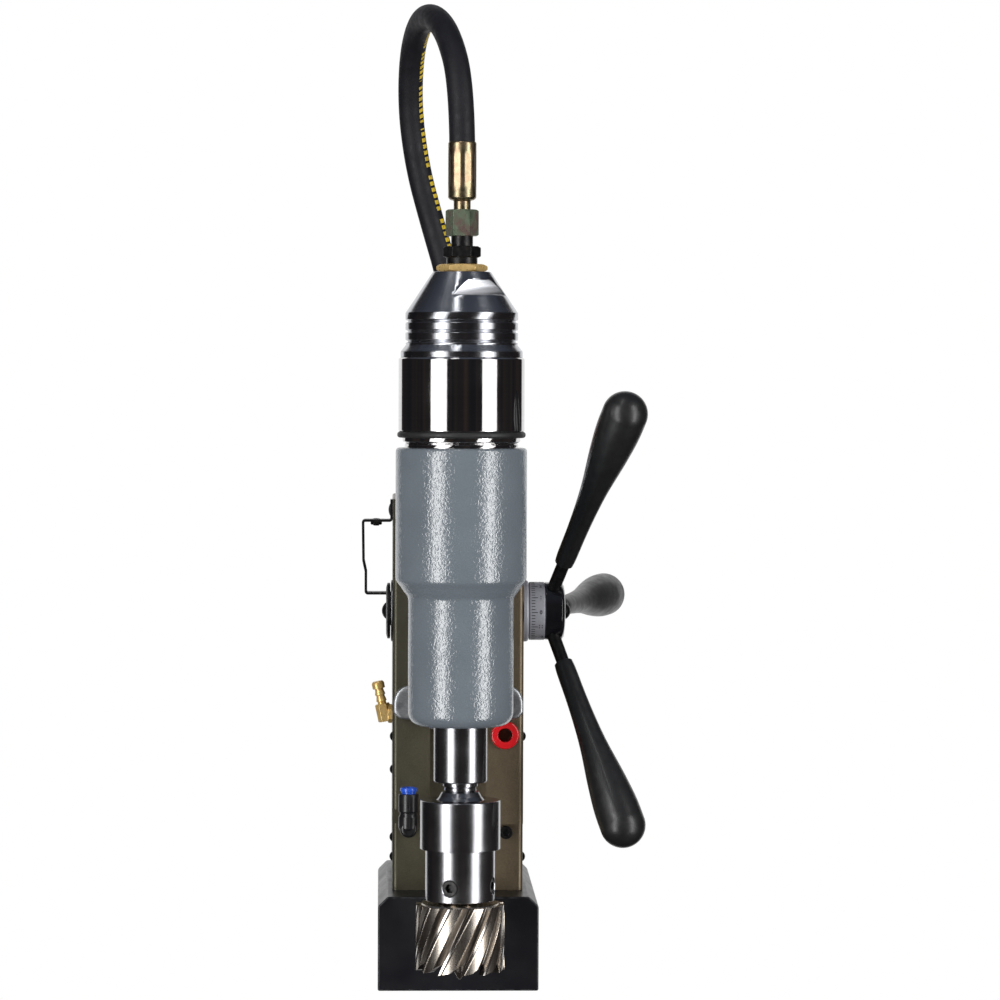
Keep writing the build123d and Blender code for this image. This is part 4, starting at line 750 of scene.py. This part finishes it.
def cutter():
    """The annular cutter: a twisted crown of teeth, hollow below its roof, under a plain shank."""
    columns = CUTTER_TEETH * TOOTH_STEPS
    mesh = bpy.data.meshes.new("annular_cutter")
    work = bmesh.new()

    def on_axis(z):
        return [work.verts.new((SPINDLE_X * MM, SPINDLE_Y * MM, z * MM))]

    def vertex(r, z, theta):
        angle = theta + math.radians(CUTTER_TWIST_DEG_PER_MM) * (min(z, CUTTER_TOP) - CUTTER_LOW)
        place = (SPINDLE_X + r * math.cos(angle), SPINDLE_Y + r * math.sin(angle), z)
        return work.verts.new([v * MM for v in place])

    outline = [("in", 1 - j / TOOTH_ROWS) for j in range(TOOTH_ROWS + 1)]
    outline += [("out", j / TOOTH_ROWS) for j in range(TOOTH_ROWS + 1)]
    rings = [[] for _ in outline]
    for k in range(columns):
        phase = (k % TOOTH_STEPS) / TOOTH_STEPS
        theta = 2 * math.pi * k / columns
        low = CUTTER_LOW + tooth_foot(phase)
        wide = tooth_radius(phase)
        for ring, (side, t) in zip(rings, outline):
            if side == "in":
                ring.append(vertex(CUTTER_BORE_R, low + (CUTTER_ROOF - low) * t, theta))
            else:
                ring.append(vertex(wide, low + (CUTTER_TOP - low) * t, theta))
    upper = [(20.1, CUTTER_TOP), (19.6, CUTTER_TOP + 0.4), (11.2, CUTTER_TOP + 0.4), (10.2, CUTTER_TOP + 0.7),
             (SHANK_R, CUTTER_TOP + 1.5), (SHANK_R, SHANK_TOP - 0.8), (8.9, SHANK_TOP)]
    for r, z in upper:
        rings.append([vertex(r, z, 2 * math.pi * k / columns) for k in range(columns)])
    rings = [on_axis(CUTTER_ROOF)] + rings + [on_axis(SHANK_TOP)]
    for ring, following in zip(rings, rings[1:]):
        join_rings(work, ring, following)
    bmesh.ops.recalc_face_normals(work, faces=work.faces)
    work.to_mesh(mesh)
    work.free()
    finished("annular_cutter", mesh, "tool_steel", body_of("cutter"), replaces=("cutter",))
    mesh.materials.append(MAT["gullet_steel"])
    mesh.materials.append(MAT["margin_steel"])
    for polygon in mesh.polygons:
        centre = polygon.center / MM
        radius = math.hypot(centre.x - SPINDLE_X, centre.y - SPINDLE_Y)
        if centre.z > CUTTER_TOP - TOP_SKIN:
            continue
        if CUTTER_BORE_R + BORE_SKIN < radius < CUTTER_R - LAND_DROP - LAND_SKIN:
            polygon.material_index = 1
        elif radius > CUTTER_R - MARGIN_SKIN:
            polygon.material_index = 2


cutter()

# -------------------------------------------------------------------- casting

CAST_VOXEL_MM = 0.8
CAST_PASSES = 7
EAR_Y = (-65.2, -59.8)
EAR_Z = (140.5, 161.0)
EAR_INNER_X = 17.5


def casting():
    """The gearbox casting as one softly rounded, painted skin, with its two milled ears left bright."""
    node = "gearbox_casting"
    piece = finished(node + "_cast", frame["nodes"][node].data.copy(), "hammertone")
    remesh = piece.modifiers.new("skin", "REMESH")
    remesh.mode = "VOXEL"
    remesh.voxel_size = CAST_VOXEL_MM * MM
    smooth = piece.modifiers.new("blend", "SMOOTH")
    smooth.factor = 0.5
    smooth.iterations = CAST_PASSES
    depsgraph = bpy.context.evaluated_depsgraph_get()
    mesh = bpy.data.meshes.new_from_object(piece.evaluated_get(depsgraph))
    piece.modifiers.clear()
    piece.data = mesh
    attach(piece, body_of(node))
    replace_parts(piece, node)
    mesh.materials.append(MAT["machined_face"])
    for polygon in mesh.polygons:
        polygon.use_smooth = True
        x, y, z = polygon.center / MM
        if abs(x) > EAR_INNER_X and EAR_Y[0] < y < EAR_Y[1] and EAR_Z[0] < z < EAR_Z[1]:
            polygon.material_index = 1


casting()

# ------------------------------------------------------------ ferrule and nuts

STUB_R = 4.4
STUB_FOOT = 403.6
FERRULE_R = 7.3
FERRULE_LOW, FERRULE_HIGH = 416.1, 446.1
FERRULE_BORE_R, FERRULE_STOP = 6.7, 434.0
FERRULE_ROWS = 24
CRIMP_FLATS = 8
CRIMP_LOW, CRIMP_HIGH, CRIMP_FADE = 422.0, 441.0, 1.2
CRIMP_PRESSED_SHARE = 0.972
CRIMP_INNER_SHARE = 0.93
FERRULE_SEGMENTS = 128


def crimped(r, z, angle):
    """The ferrule's radius: crimp flats in the middle, round and rolled at both ends."""
    if r < FERRULE_R * CRIMP_INNER_SHARE:
        return r
    local = angle % (2 * math.pi / CRIMP_FLATS) - math.pi / CRIMP_FLATS
    pressed = FERRULE_R * CRIMP_PRESSED_SHARE / math.cos(local)
    above, below = (z - CRIMP_LOW) / CRIMP_FADE, (CRIMP_HIGH - z) / CRIMP_FADE
    fade = min(1.0, max(0.0, above)) * min(1.0, max(0.0, below))
    return r + (min(pressed, r) - r) * fade


def ferrule():
    """The crimped sleeve on its tube stub, open above for the hose."""
    low, high = FERRULE_LOW, FERRULE_HIGH
    steps = [low + (high - low) * i / FERRULE_ROWS for i in range(1, FERRULE_ROWS)]
    profile = [(0, STUB_FOOT), (STUB_R, STUB_FOOT), (STUB_R, low - 0.6), (STUB_R + 0.5, low), (5.6, low)]
    profile += [(6.6, low + 0.5), (FERRULE_R, low + 1.4)]
    profile += [(FERRULE_R, z) for z in steps if low + 1.6 < z < high - 1.0]
    profile += [(FERRULE_R, high - 0.8), (7.05, high - 0.2), (6.9, high)]
    profile += [(FERRULE_BORE_R, high), (FERRULE_BORE_R, FERRULE_STOP), (0, FERRULE_STOP)]
    mesh = turned_mesh("crimp_sleeve", profile, SPINDLE_LINE, FERRULE_SEGMENTS, crimped)
    finished("crimp_sleeve", mesh, "yellow_zinc", body_of("hose_ferrule"), replaces=("hose_ferrule",))


ferrule()
nut("gland_nut", "cap_nut", across_flats=23.0, z0=379.2, z1=383.1, bore=8.0, turn_deg=0, material="brass")
nut("coupling_nut", "swivel_nut", across_flats=15.0, z0=397.6, z1=411.3, bore=STUB_R + 0.05, turn_deg=-3,
    material="olive_zinc")

# -------------------------------------------------------------------- springs

COIL_STEPS, WIRE_SIDES = 24, 10


def coil_springs(name, node, places, radius, wire, turns, low, high):
    """Round-wire coil springs between the body below them and the body above."""
    steps = turns * COIL_STEPS
    coils = []
    for x, y in places:
        points = []
        for i in range(steps + 1):
            angle = 2 * math.pi * turns * i / steps
            z = low + wire + (high - low - 2 * wire) * i / steps
            points.append(Vector((x + radius * math.cos(angle), y + radius * math.sin(angle), z)) * MM)
        coils.append(tube_mesh("coil", points, wire * MM, WIRE_SIDES))
    springs = finished(name, joined(name, coils), "spring_steel")
    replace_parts(springs, node)
    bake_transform(springs)


RETURN_SPRING_PLACES = [(x, y) for x in (-20, 20) for y in (-50, 50)]
coil_springs("return_springs", "magnet_springs", RETURN_SPRING_PLACES, radius=4.35, wire=0.6, turns=7,
             low=22.0, high=42.0)
coil_springs("pin_spring", "pilot_spring", [SPINDLE_LINE], radius=3.2, wire=0.5, turns=12,
             low=87.0, high=125.0)

# ------------------------------------------------------- arbor and push-in elbow

SET_SCREW_ANGLES = (-19, 71)
SET_SCREW_Z, SET_SCREW_R, SET_SCREW_FOOT = 61.7, 4.0, 8.0
COUNTERSINK = 1.2
ARBOR_R, ARBOR_COLLAR_R = 18.1, 20.8
ARBOR_LOW, ARBOR_COLLAR_LOW, ARBOR_COLLAR_TOP, ARBOR_TOP = 53.9, 80.6, 106.0, 186.0
ARBOR_BORE_R, ARBOR_BORE_TOP = 9.56, 81.0
# Rows of faces between the arbor's ends, so that its cut holes shade cleanly.
ARBOR_ROW, ARBOR_ROWS = 1.6, 16
ARBOR_SEGMENTS, HOLE_SEGMENTS = 180, 48


def cut_by(mesh, tools):
    """A mesh with other meshes taken out of it."""
    whole = bpy.data.objects.new("work", mesh)
    bpy.context.scene.collection.objects.link(whole)
    parts = []
    for tool in tools:
        part = bpy.data.objects.new("tool", tool)
        bpy.context.scene.collection.objects.link(part)
        parts.append(part)
        cut = whole.modifiers.new("cut", "BOOLEAN")
        cut.operation = "DIFFERENCE"
        cut.solver = "EXACT"
        cut.object = part
    depsgraph = bpy.context.evaluated_depsgraph_get()
    result = bpy.data.meshes.new_from_object(whole.evaluated_get(depsgraph))
    for done in parts + [whole]:
        bpy.data.objects.remove(done)
    return result


def arbor():
    """The turned arbor, with its two countersunk set-screw holes."""
    profile = [(ARBOR_BORE_R, ARBOR_LOW), (ARBOR_R, ARBOR_LOW, 0.7)]
    profile += [(ARBOR_R, ARBOR_LOW + 1.0 + ARBOR_ROW * i) for i in range(ARBOR_ROWS)]
    profile += [(ARBOR_R, ARBOR_COLLAR_LOW, 0.0), (ARBOR_COLLAR_R, ARBOR_COLLAR_LOW)]
    profile += [(ARBOR_COLLAR_R, ARBOR_COLLAR_TOP, 0.9), (12.6, ARBOR_COLLAR_TOP)]
    profile += [(11.0, 108.0), (9.75, 110.2), (8.35, 111.0), (8.35, 112.4), (9.13, 113.2), (9.13, 115.3)]
    profile += [(7.2, ARBOR_TOP), (0.0, ARBOR_TOP), (0.0, ARBOR_BORE_TOP), (ARBOR_BORE_R, ARBOR_BORE_TOP)]
    mesh = turned_mesh("arbor_turned", rounded(profile, 0.3), SPINDLE_LINE, ARBOR_SEGMENTS)
    outside = ARBOR_R + 0.6
    hole = [(0, SET_SCREW_FOOT), (SET_SCREW_R, SET_SCREW_FOOT), (SET_SCREW_R, ARBOR_R - 0.75)]
    hole += [(SET_SCREW_R + COUNTERSINK, outside), (0, outside)]
    tools = []
    for angle in SET_SCREW_ANGLES:
        outwards = Matrix.Rotation(math.radians(angle), 4, "Z") @ Matrix.Rotation(math.pi / 2, 4, "X")
        tool = turned_mesh("hole", hole, (0, 0), HOLE_SEGMENTS)
        tools.append(lay_over(tool, (SPINDLE_X, SPINDLE_Y, SET_SCREW_Z), outwards))
    body, slot = body_of("arbor"), SLOT_OF["arbor"]
    finished("arbor_turned", cut_by(mesh, tools), "ground_steel", body, ("arbor",))


arbor()

ELBOW_R, ELBOW_NECK_R = 5.35, 4.6
ELBOW_TOP, ELBOW_NECK_Z = 104.0, 85.4
ELBOW_ROUND, ELBOW_SEGMENTS = 0.25, 72


def elbow():
    """Push-in elbow: a barrel on a waisted knuckle, with its neck running back into the frame."""
    x, y, _ = centre_mm("release_collet")
    barrel = [(3.1, ELBOW_TOP), (ELBOW_R, ELBOW_TOP, 0.7), (ELBOW_R, 94.6), (4.75, 93.9), (4.75, 92.9)]
    barrel += [(ELBOW_R, 91.6, 0.8), (ELBOW_R, 85.5, 1.5), (3.6, 83.6, 1.0), (0.0, 83.5)]
    barrel += [(0.0, 88.0), (3.1, 88.0)]
    neck = [(0.0, -ELBOW_NECK_R), (ELBOW_NECK_R, -ELBOW_NECK_R, 2.0), (ELBOW_NECK_R, 15.8)]
    neck += [(5.6, 16.0), (5.6, 20.0), (ELBOW_NECK_R, 20.0), (ELBOW_NECK_R, 31.5), (0.0, 31.5)]
    upright = turned_mesh("barrel", rounded(barrel, ELBOW_ROUND), (x, y), ELBOW_SEGMENTS)
    level = turned_mesh("neck", rounded(neck, ELBOW_ROUND), (0, 0), ELBOW_SEGMENTS)
    lay_over(level, (x, y, ELBOW_NECK_Z), ALONG_Y)
    mesh = joined("elbow", [upright, level])
    finished("elbow", mesh, SLOT_OF["elbow_body"], body_of("elbow_body"), replaces=("elbow_body",))


elbow()

# ---------------------------------------------------- feed wheel: dial and hub

ARM_TILT = math.radians(17.4)
ARM_ANGLES = (1, 121, 241)
ARM_SEAT_X = 51.5
RING_R = 15.6
HUB_SEAT_X = ARM_SEAT_X - RING_R * math.tan(ARM_TILT)
GRIP_START_REACH, BALL_REACH = 30.7, 124.4
BALL_R = 12.0
GRIP_BORE_R, GRIP_BORE_DEPTH = 3.5, 14.7
BALL_STEPS, FLOW_STEPS, GRIP_SEGMENTS = 24, 16, 72


def arm_place(angle_deg):
    """Carries a piece made about the Z axis onto one arm's leaning axis."""
    turn = Matrix.Rotation(math.radians(angle_deg - 90), 4, "X") @ Matrix.Rotation(ARM_TILT, 4, "Y")
    return Matrix.Translation(Vector((HUB_SEAT_X, HUB_Y, HUB_Z)) * MM) @ turn


def smooth_profile(points):
    """A flowing line through (r, z) points."""
    out = []
    for i in range(len(points) - 1):
        a = Vector(points[max(i - 1, 0)])
        b, c = Vector(points[i]), Vector(points[i + 1])
        d = Vector(points[min(i + 2, len(points) - 1)])
        for k in range(FLOW_STEPS):
            t = k / FLOW_STEPS
            bend = (2 * a - 5 * b + 4 * c - d) * t**2 + (3 * b - a - 3 * c + d) * t**3
            p = 0.5 * (2 * b + (c - a) * t + bend)
            out.append((max(p.x, 0.0), p.y))
    out.append(tuple(points[-1]))
    return out


def grips():
    """Three drop-shaped grips on the arms, bored for their rods."""
    start, ball = GRIP_START_REACH / math.cos(ARM_TILT), BALL_REACH / math.cos(ARM_TILT)
    line = [(5.0, start + 0.8), (5.35, start + 6), (5.6, start + 22), (6.35, start + 38), (7.6, start + 52)]
    line += [(10.2, start + (ball - start) * 0.72), (11.8, ball - 12), (BALL_R, ball)]
    profile = [(GRIP_BORE_R, start), (4.7, start), (4.95, start + 0.25)] + smooth_profile(line)
    for i in range(1, BALL_STEPS):
        a = math.pi / 2 * i / BALL_STEPS
        profile.append((BALL_R * math.cos(a), ball + BALL_R * math.sin(a)))
    profile += [(0.0, ball + BALL_R), (0.0, start + GRIP_BORE_DEPTH), (GRIP_BORE_R, start + GRIP_BORE_DEPTH)]
    meshes = [turned_mesh("grip", profile, (0, 0), GRIP_SEGMENTS) for _ in ARM_ANGLES]
    for mesh, angle in zip(meshes, ARM_ANGLES):
        mesh.transform(arm_place(angle))
    finished("grips", joined("grips", meshes), "grip_plastic", "feed", replaces=("handle_grips",))


grips()

RING_X0, RING_X1 = 38.2, 46.5
RING_BORE_R = 8.0
RING_SEGMENTS = 160
DIAL_TICKS = 60
TICK_START_X = 39.2
TICK_LENGTHS = (3.4, 2.0)
TICK_HALF = 0.2
TICK_ROOT = -0.05
TICKS_PER_FIGURE = 5
FIGURE_X = 44.2
FIGURE_SIZE = 2.9
FIGURE_WEIGHT = 0.07
MARK_RISE = 0.03


def on_ring(x, around, rise):
    """A place on the ring: along its axis, round it from the front in mm, and above its surface."""
    angle = around / RING_R
    radius = RING_R + rise
    return Vector((x, HUB_Y - radius * math.cos(angle), HUB_Z + radius * math.sin(angle))) * MM


def tick(work, around, length):
    """A low bar with its own sides, wrapped on the ring."""
    ends = (TICK_START_X, TICK_START_X + length)
    corners = []
    for rise in (TICK_ROOT, MARK_RISE):
        for x, side in ((ends[0], -1), (ends[1], -1), (ends[1], 1), (ends[0], 1)):
            corners.append(work.verts.new(on_ring(x, around + side * TICK_HALF, rise)))
    work.faces.new(corners[:4])
    work.faces.new(corners[4:])
    for k in range(4):
        follow = (k + 1) % 4
        work.faces.new((corners[k], corners[follow], corners[4 + follow], corners[4 + k]))


def figure(work, text, around):
    """A number, wrapped on the ring."""
    curve = bpy.data.curves.new("figure", "FONT")
    curve.body = text
    curve.size = FIGURE_SIZE
    curve.align_x = "CENTER"
    curve.align_y = "CENTER"
    curve.extrude = MARK_RISE
    curve.offset = FIGURE_WEIGHT
    curve.resolution_u = 4
    holder = bpy.data.objects.new("figure", curve)
    mesh = bpy.data.meshes.new_from_object(holder)
    bpy.data.objects.remove(holder)
    for vertex in mesh.vertices:
        flat = vertex.co.copy()
        vertex.co = on_ring(FIGURE_X + flat.x, around + flat.y, flat.z)
    work.from_mesh(mesh)
    bpy.data.meshes.remove(mesh)


def scale_ring():
    """The graduated ring, with its black ticks and figures standing just proud."""
    profile = [(RING_BORE_R, RING_X0), (RING_R, RING_X0, 0.6), (RING_R, RING_X1, 0.4), (RING_BORE_R, RING_X1)]
    ring = turned_mesh("dial", rounded(profile, 0.2), (0, 0), RING_SEGMENTS)
    lay_over(ring, (0, HUB_Y, HUB_Z), ALONG_X)
    work = bmesh.new()
    work.from_mesh(ring)
    plain = len(work.faces)
    pitch = 2 * math.pi * RING_R / DIAL_TICKS
    for k in range(DIAL_TICKS):
        long = k % TICKS_PER_FIGURE == 0
        tick(work, k * pitch, TICK_LENGTHS[0] if long else TICK_LENGTHS[1])
        if long:
            figure(work, str(k // TICKS_PER_FIGURE), k * pitch)
    bmesh.ops.recalc_face_normals(work, faces=work.faces)
    work.to_mesh(ring)
    work.free()
    finished("dial", ring, "scale_metal", "feed", replaces=("scale_ring",))
    ring.materials.append(MAT["dial_paint"])
    for polygon in ring.polygons[plain:]:
        polygon.material_index = 1
        polygon.use_smooth = False


scale_ring()

# --------------------------------------------------------- carried-over pieces

# Nodes whose CAD mesh is shown as it is, with a better material.
KEPT = ["magnet_pack", "feed_rack", "spindle_bearings", "ring_gear", "rotor_end_plates", "rotor_bearings",
        "motor_liner", "planet_pins", "rotor", "rotor_vanes", "planet_1", "planet_2", "planet_3",
        "pinion_shaft", "feed_bushes", "oil_seal"]
EDGE_MM = {
    "magnet_housing": 0.9,
    "pole_plates": 0.5,
    "base_block": 0.7,
    "guide_column": 0.7,
    "frame_housing": 0.9,
    "rear_cover": 0.6,
    "valve_block": 0.5,
    "motor_cylinder": 0.35,
    "spindle": 0.4,
    "o_ring": 0.0,
    "bottle_bracket": 0.2,
    "release_collet": 0.25,
    "frame_screws": 0.25,
    "side_screws": 0.2,
    "slide_screws": 0.2,
    "set_screws": 0.25,
    "coolant_fitting": 0.2,
}
DEFAULT_EDGE_MM = 0.3
CLAMPED = ("base_block", "guide_column")
# Nodes whose rounded edges get a painted highlight, and the material that paints it.
PAINTED_EDGE_HIGHLIGHTS = {
    "magnet_housing": "magnet_edge",
    "base_block": "frame_edge",
    "guide_column": "frame_edge",
    "frame_housing": "frame_edge",
}


def ringed_flanges():
    """The shaft flanges: satin metal behind the dial, black at the other end."""
    piece = softened("feed_flanges", DEFAULT_EDGE_MM)
    piece.data.materials.append(MAT["scale_metal"])
    for polygon in piece.data.polygons:
        if polygon.center.x > 0:
            polygon.material_index = 1


ringed_flanges()


def dressed():
    """Every node that nothing stands for yet gets a material or a skin with rounded edges."""
    shown = {name for o in bpy.data.objects for name in o.get("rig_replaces", [])}
    for node, source in frame["nodes"].items():
        if node in shown:
            continue
        if node in KEPT:
            for holder in source.material_slots:
                holder.material = MAT[SLOT_OF[node]]
            continue
        softened(node, EDGE_MM.get(node, DEFAULT_EDGE_MM), edge=PAINTED_EDGE_HIGHLIGHTS.get(node))


dressed()

# ------------------------------------------------------------ light and world

AIM = Vector((SPINDLE_X, SPINDLE_Y, 360.0)) * MM


def soft_box(name, azimuth_deg, lift_deg, width, height, radiance, distance=1.2):
    """A soft box round the spindle, at an azimuth measured from straight in front."""
    data = bpy.data.lights.new(name, "AREA")
    data.shape = "RECTANGLE"
    data.size = width
    data.size_y = height
    data.energy = radiance * math.pi * width * height
    lamp = bpy.data.objects.new(name, data)
    turn, lift = math.radians(azimuth_deg), math.radians(lift_deg)
    away = Vector((math.sin(turn) * math.cos(lift), -math.cos(turn) * math.cos(lift), math.sin(lift)))
    lamp.location = AIM + away * distance
    lamp.rotation_euler = (-away).to_track_quat("-Z", "Y").to_euler()
    lamp.visible_camera = False
    bpy.context.scene.collection.objects.link(lamp)


LEFT_DEG, RIGHT_DEG, TALL_M, CORE_DISTANCE_M = -43, 51, 1.8, 1.18

soft_box("strip_left", LEFT_DEG, 0, 0.66, TALL_M, 1.7)
soft_box("strip_right", RIGHT_DEG, 0, 0.62, TALL_M, 1.7)
soft_box("core_left", LEFT_DEG, 0, 0.3, TALL_M, 4.6, CORE_DISTANCE_M)
soft_box("core_right", RIGHT_DEG, 0, 0.26, TALL_M, 4.6, CORE_DISTANCE_M)
soft_box("high_left", -24, 64, 0.1, 0.7, 5.0)


def surroundings():
    """White to the camera, dark in reflections except behind the object, and grey for soft light."""
    world = bpy.data.worlds.new("studio")
    bpy.context.scene.world = world
    world.use_nodes = True
    world.node_tree.nodes.clear()
    n = Nodes(world.node_tree, "Generated")
    path = n.add("ShaderNodeLightPath")
    _, behind, up = n.parts()
    streaks = n.noise(1.0, 2, 0.5, vector=n.stretched((4, 4, 1.2)))
    front = n.ramp(streaks, (0.42, (0.012, 0.012, 0.014)), (0.7, (0.034, 0.026, 0.023)))
    room = n.mixed(n.ramp(up, (0.4, 0.0), (0.8, 1.0)), front, (0.075, 0.085, 0.11))
    mirrored = n.mixed(n.ramp(behind, (0.78, 0.0), (0.82, 1.0)), room, (0.95, 0.95, 0.95))
    soft = n.mixed(path.outputs["Is Diffuse Ray"], mirrored, (0.36, 0.37, 0.39))
    seen = n.mixed(path.outputs["Is Camera Ray"], soft, (1.0, 1.0, 1.0))
    back = n.add("ShaderNodeBackground")
    n.link(seen, back.inputs[0])
    n.link(back.outputs[0], n.add("ShaderNodeOutputWorld").inputs[0])


surroundings()
bpy.context.scene.view_settings.view_transform = "Standard"
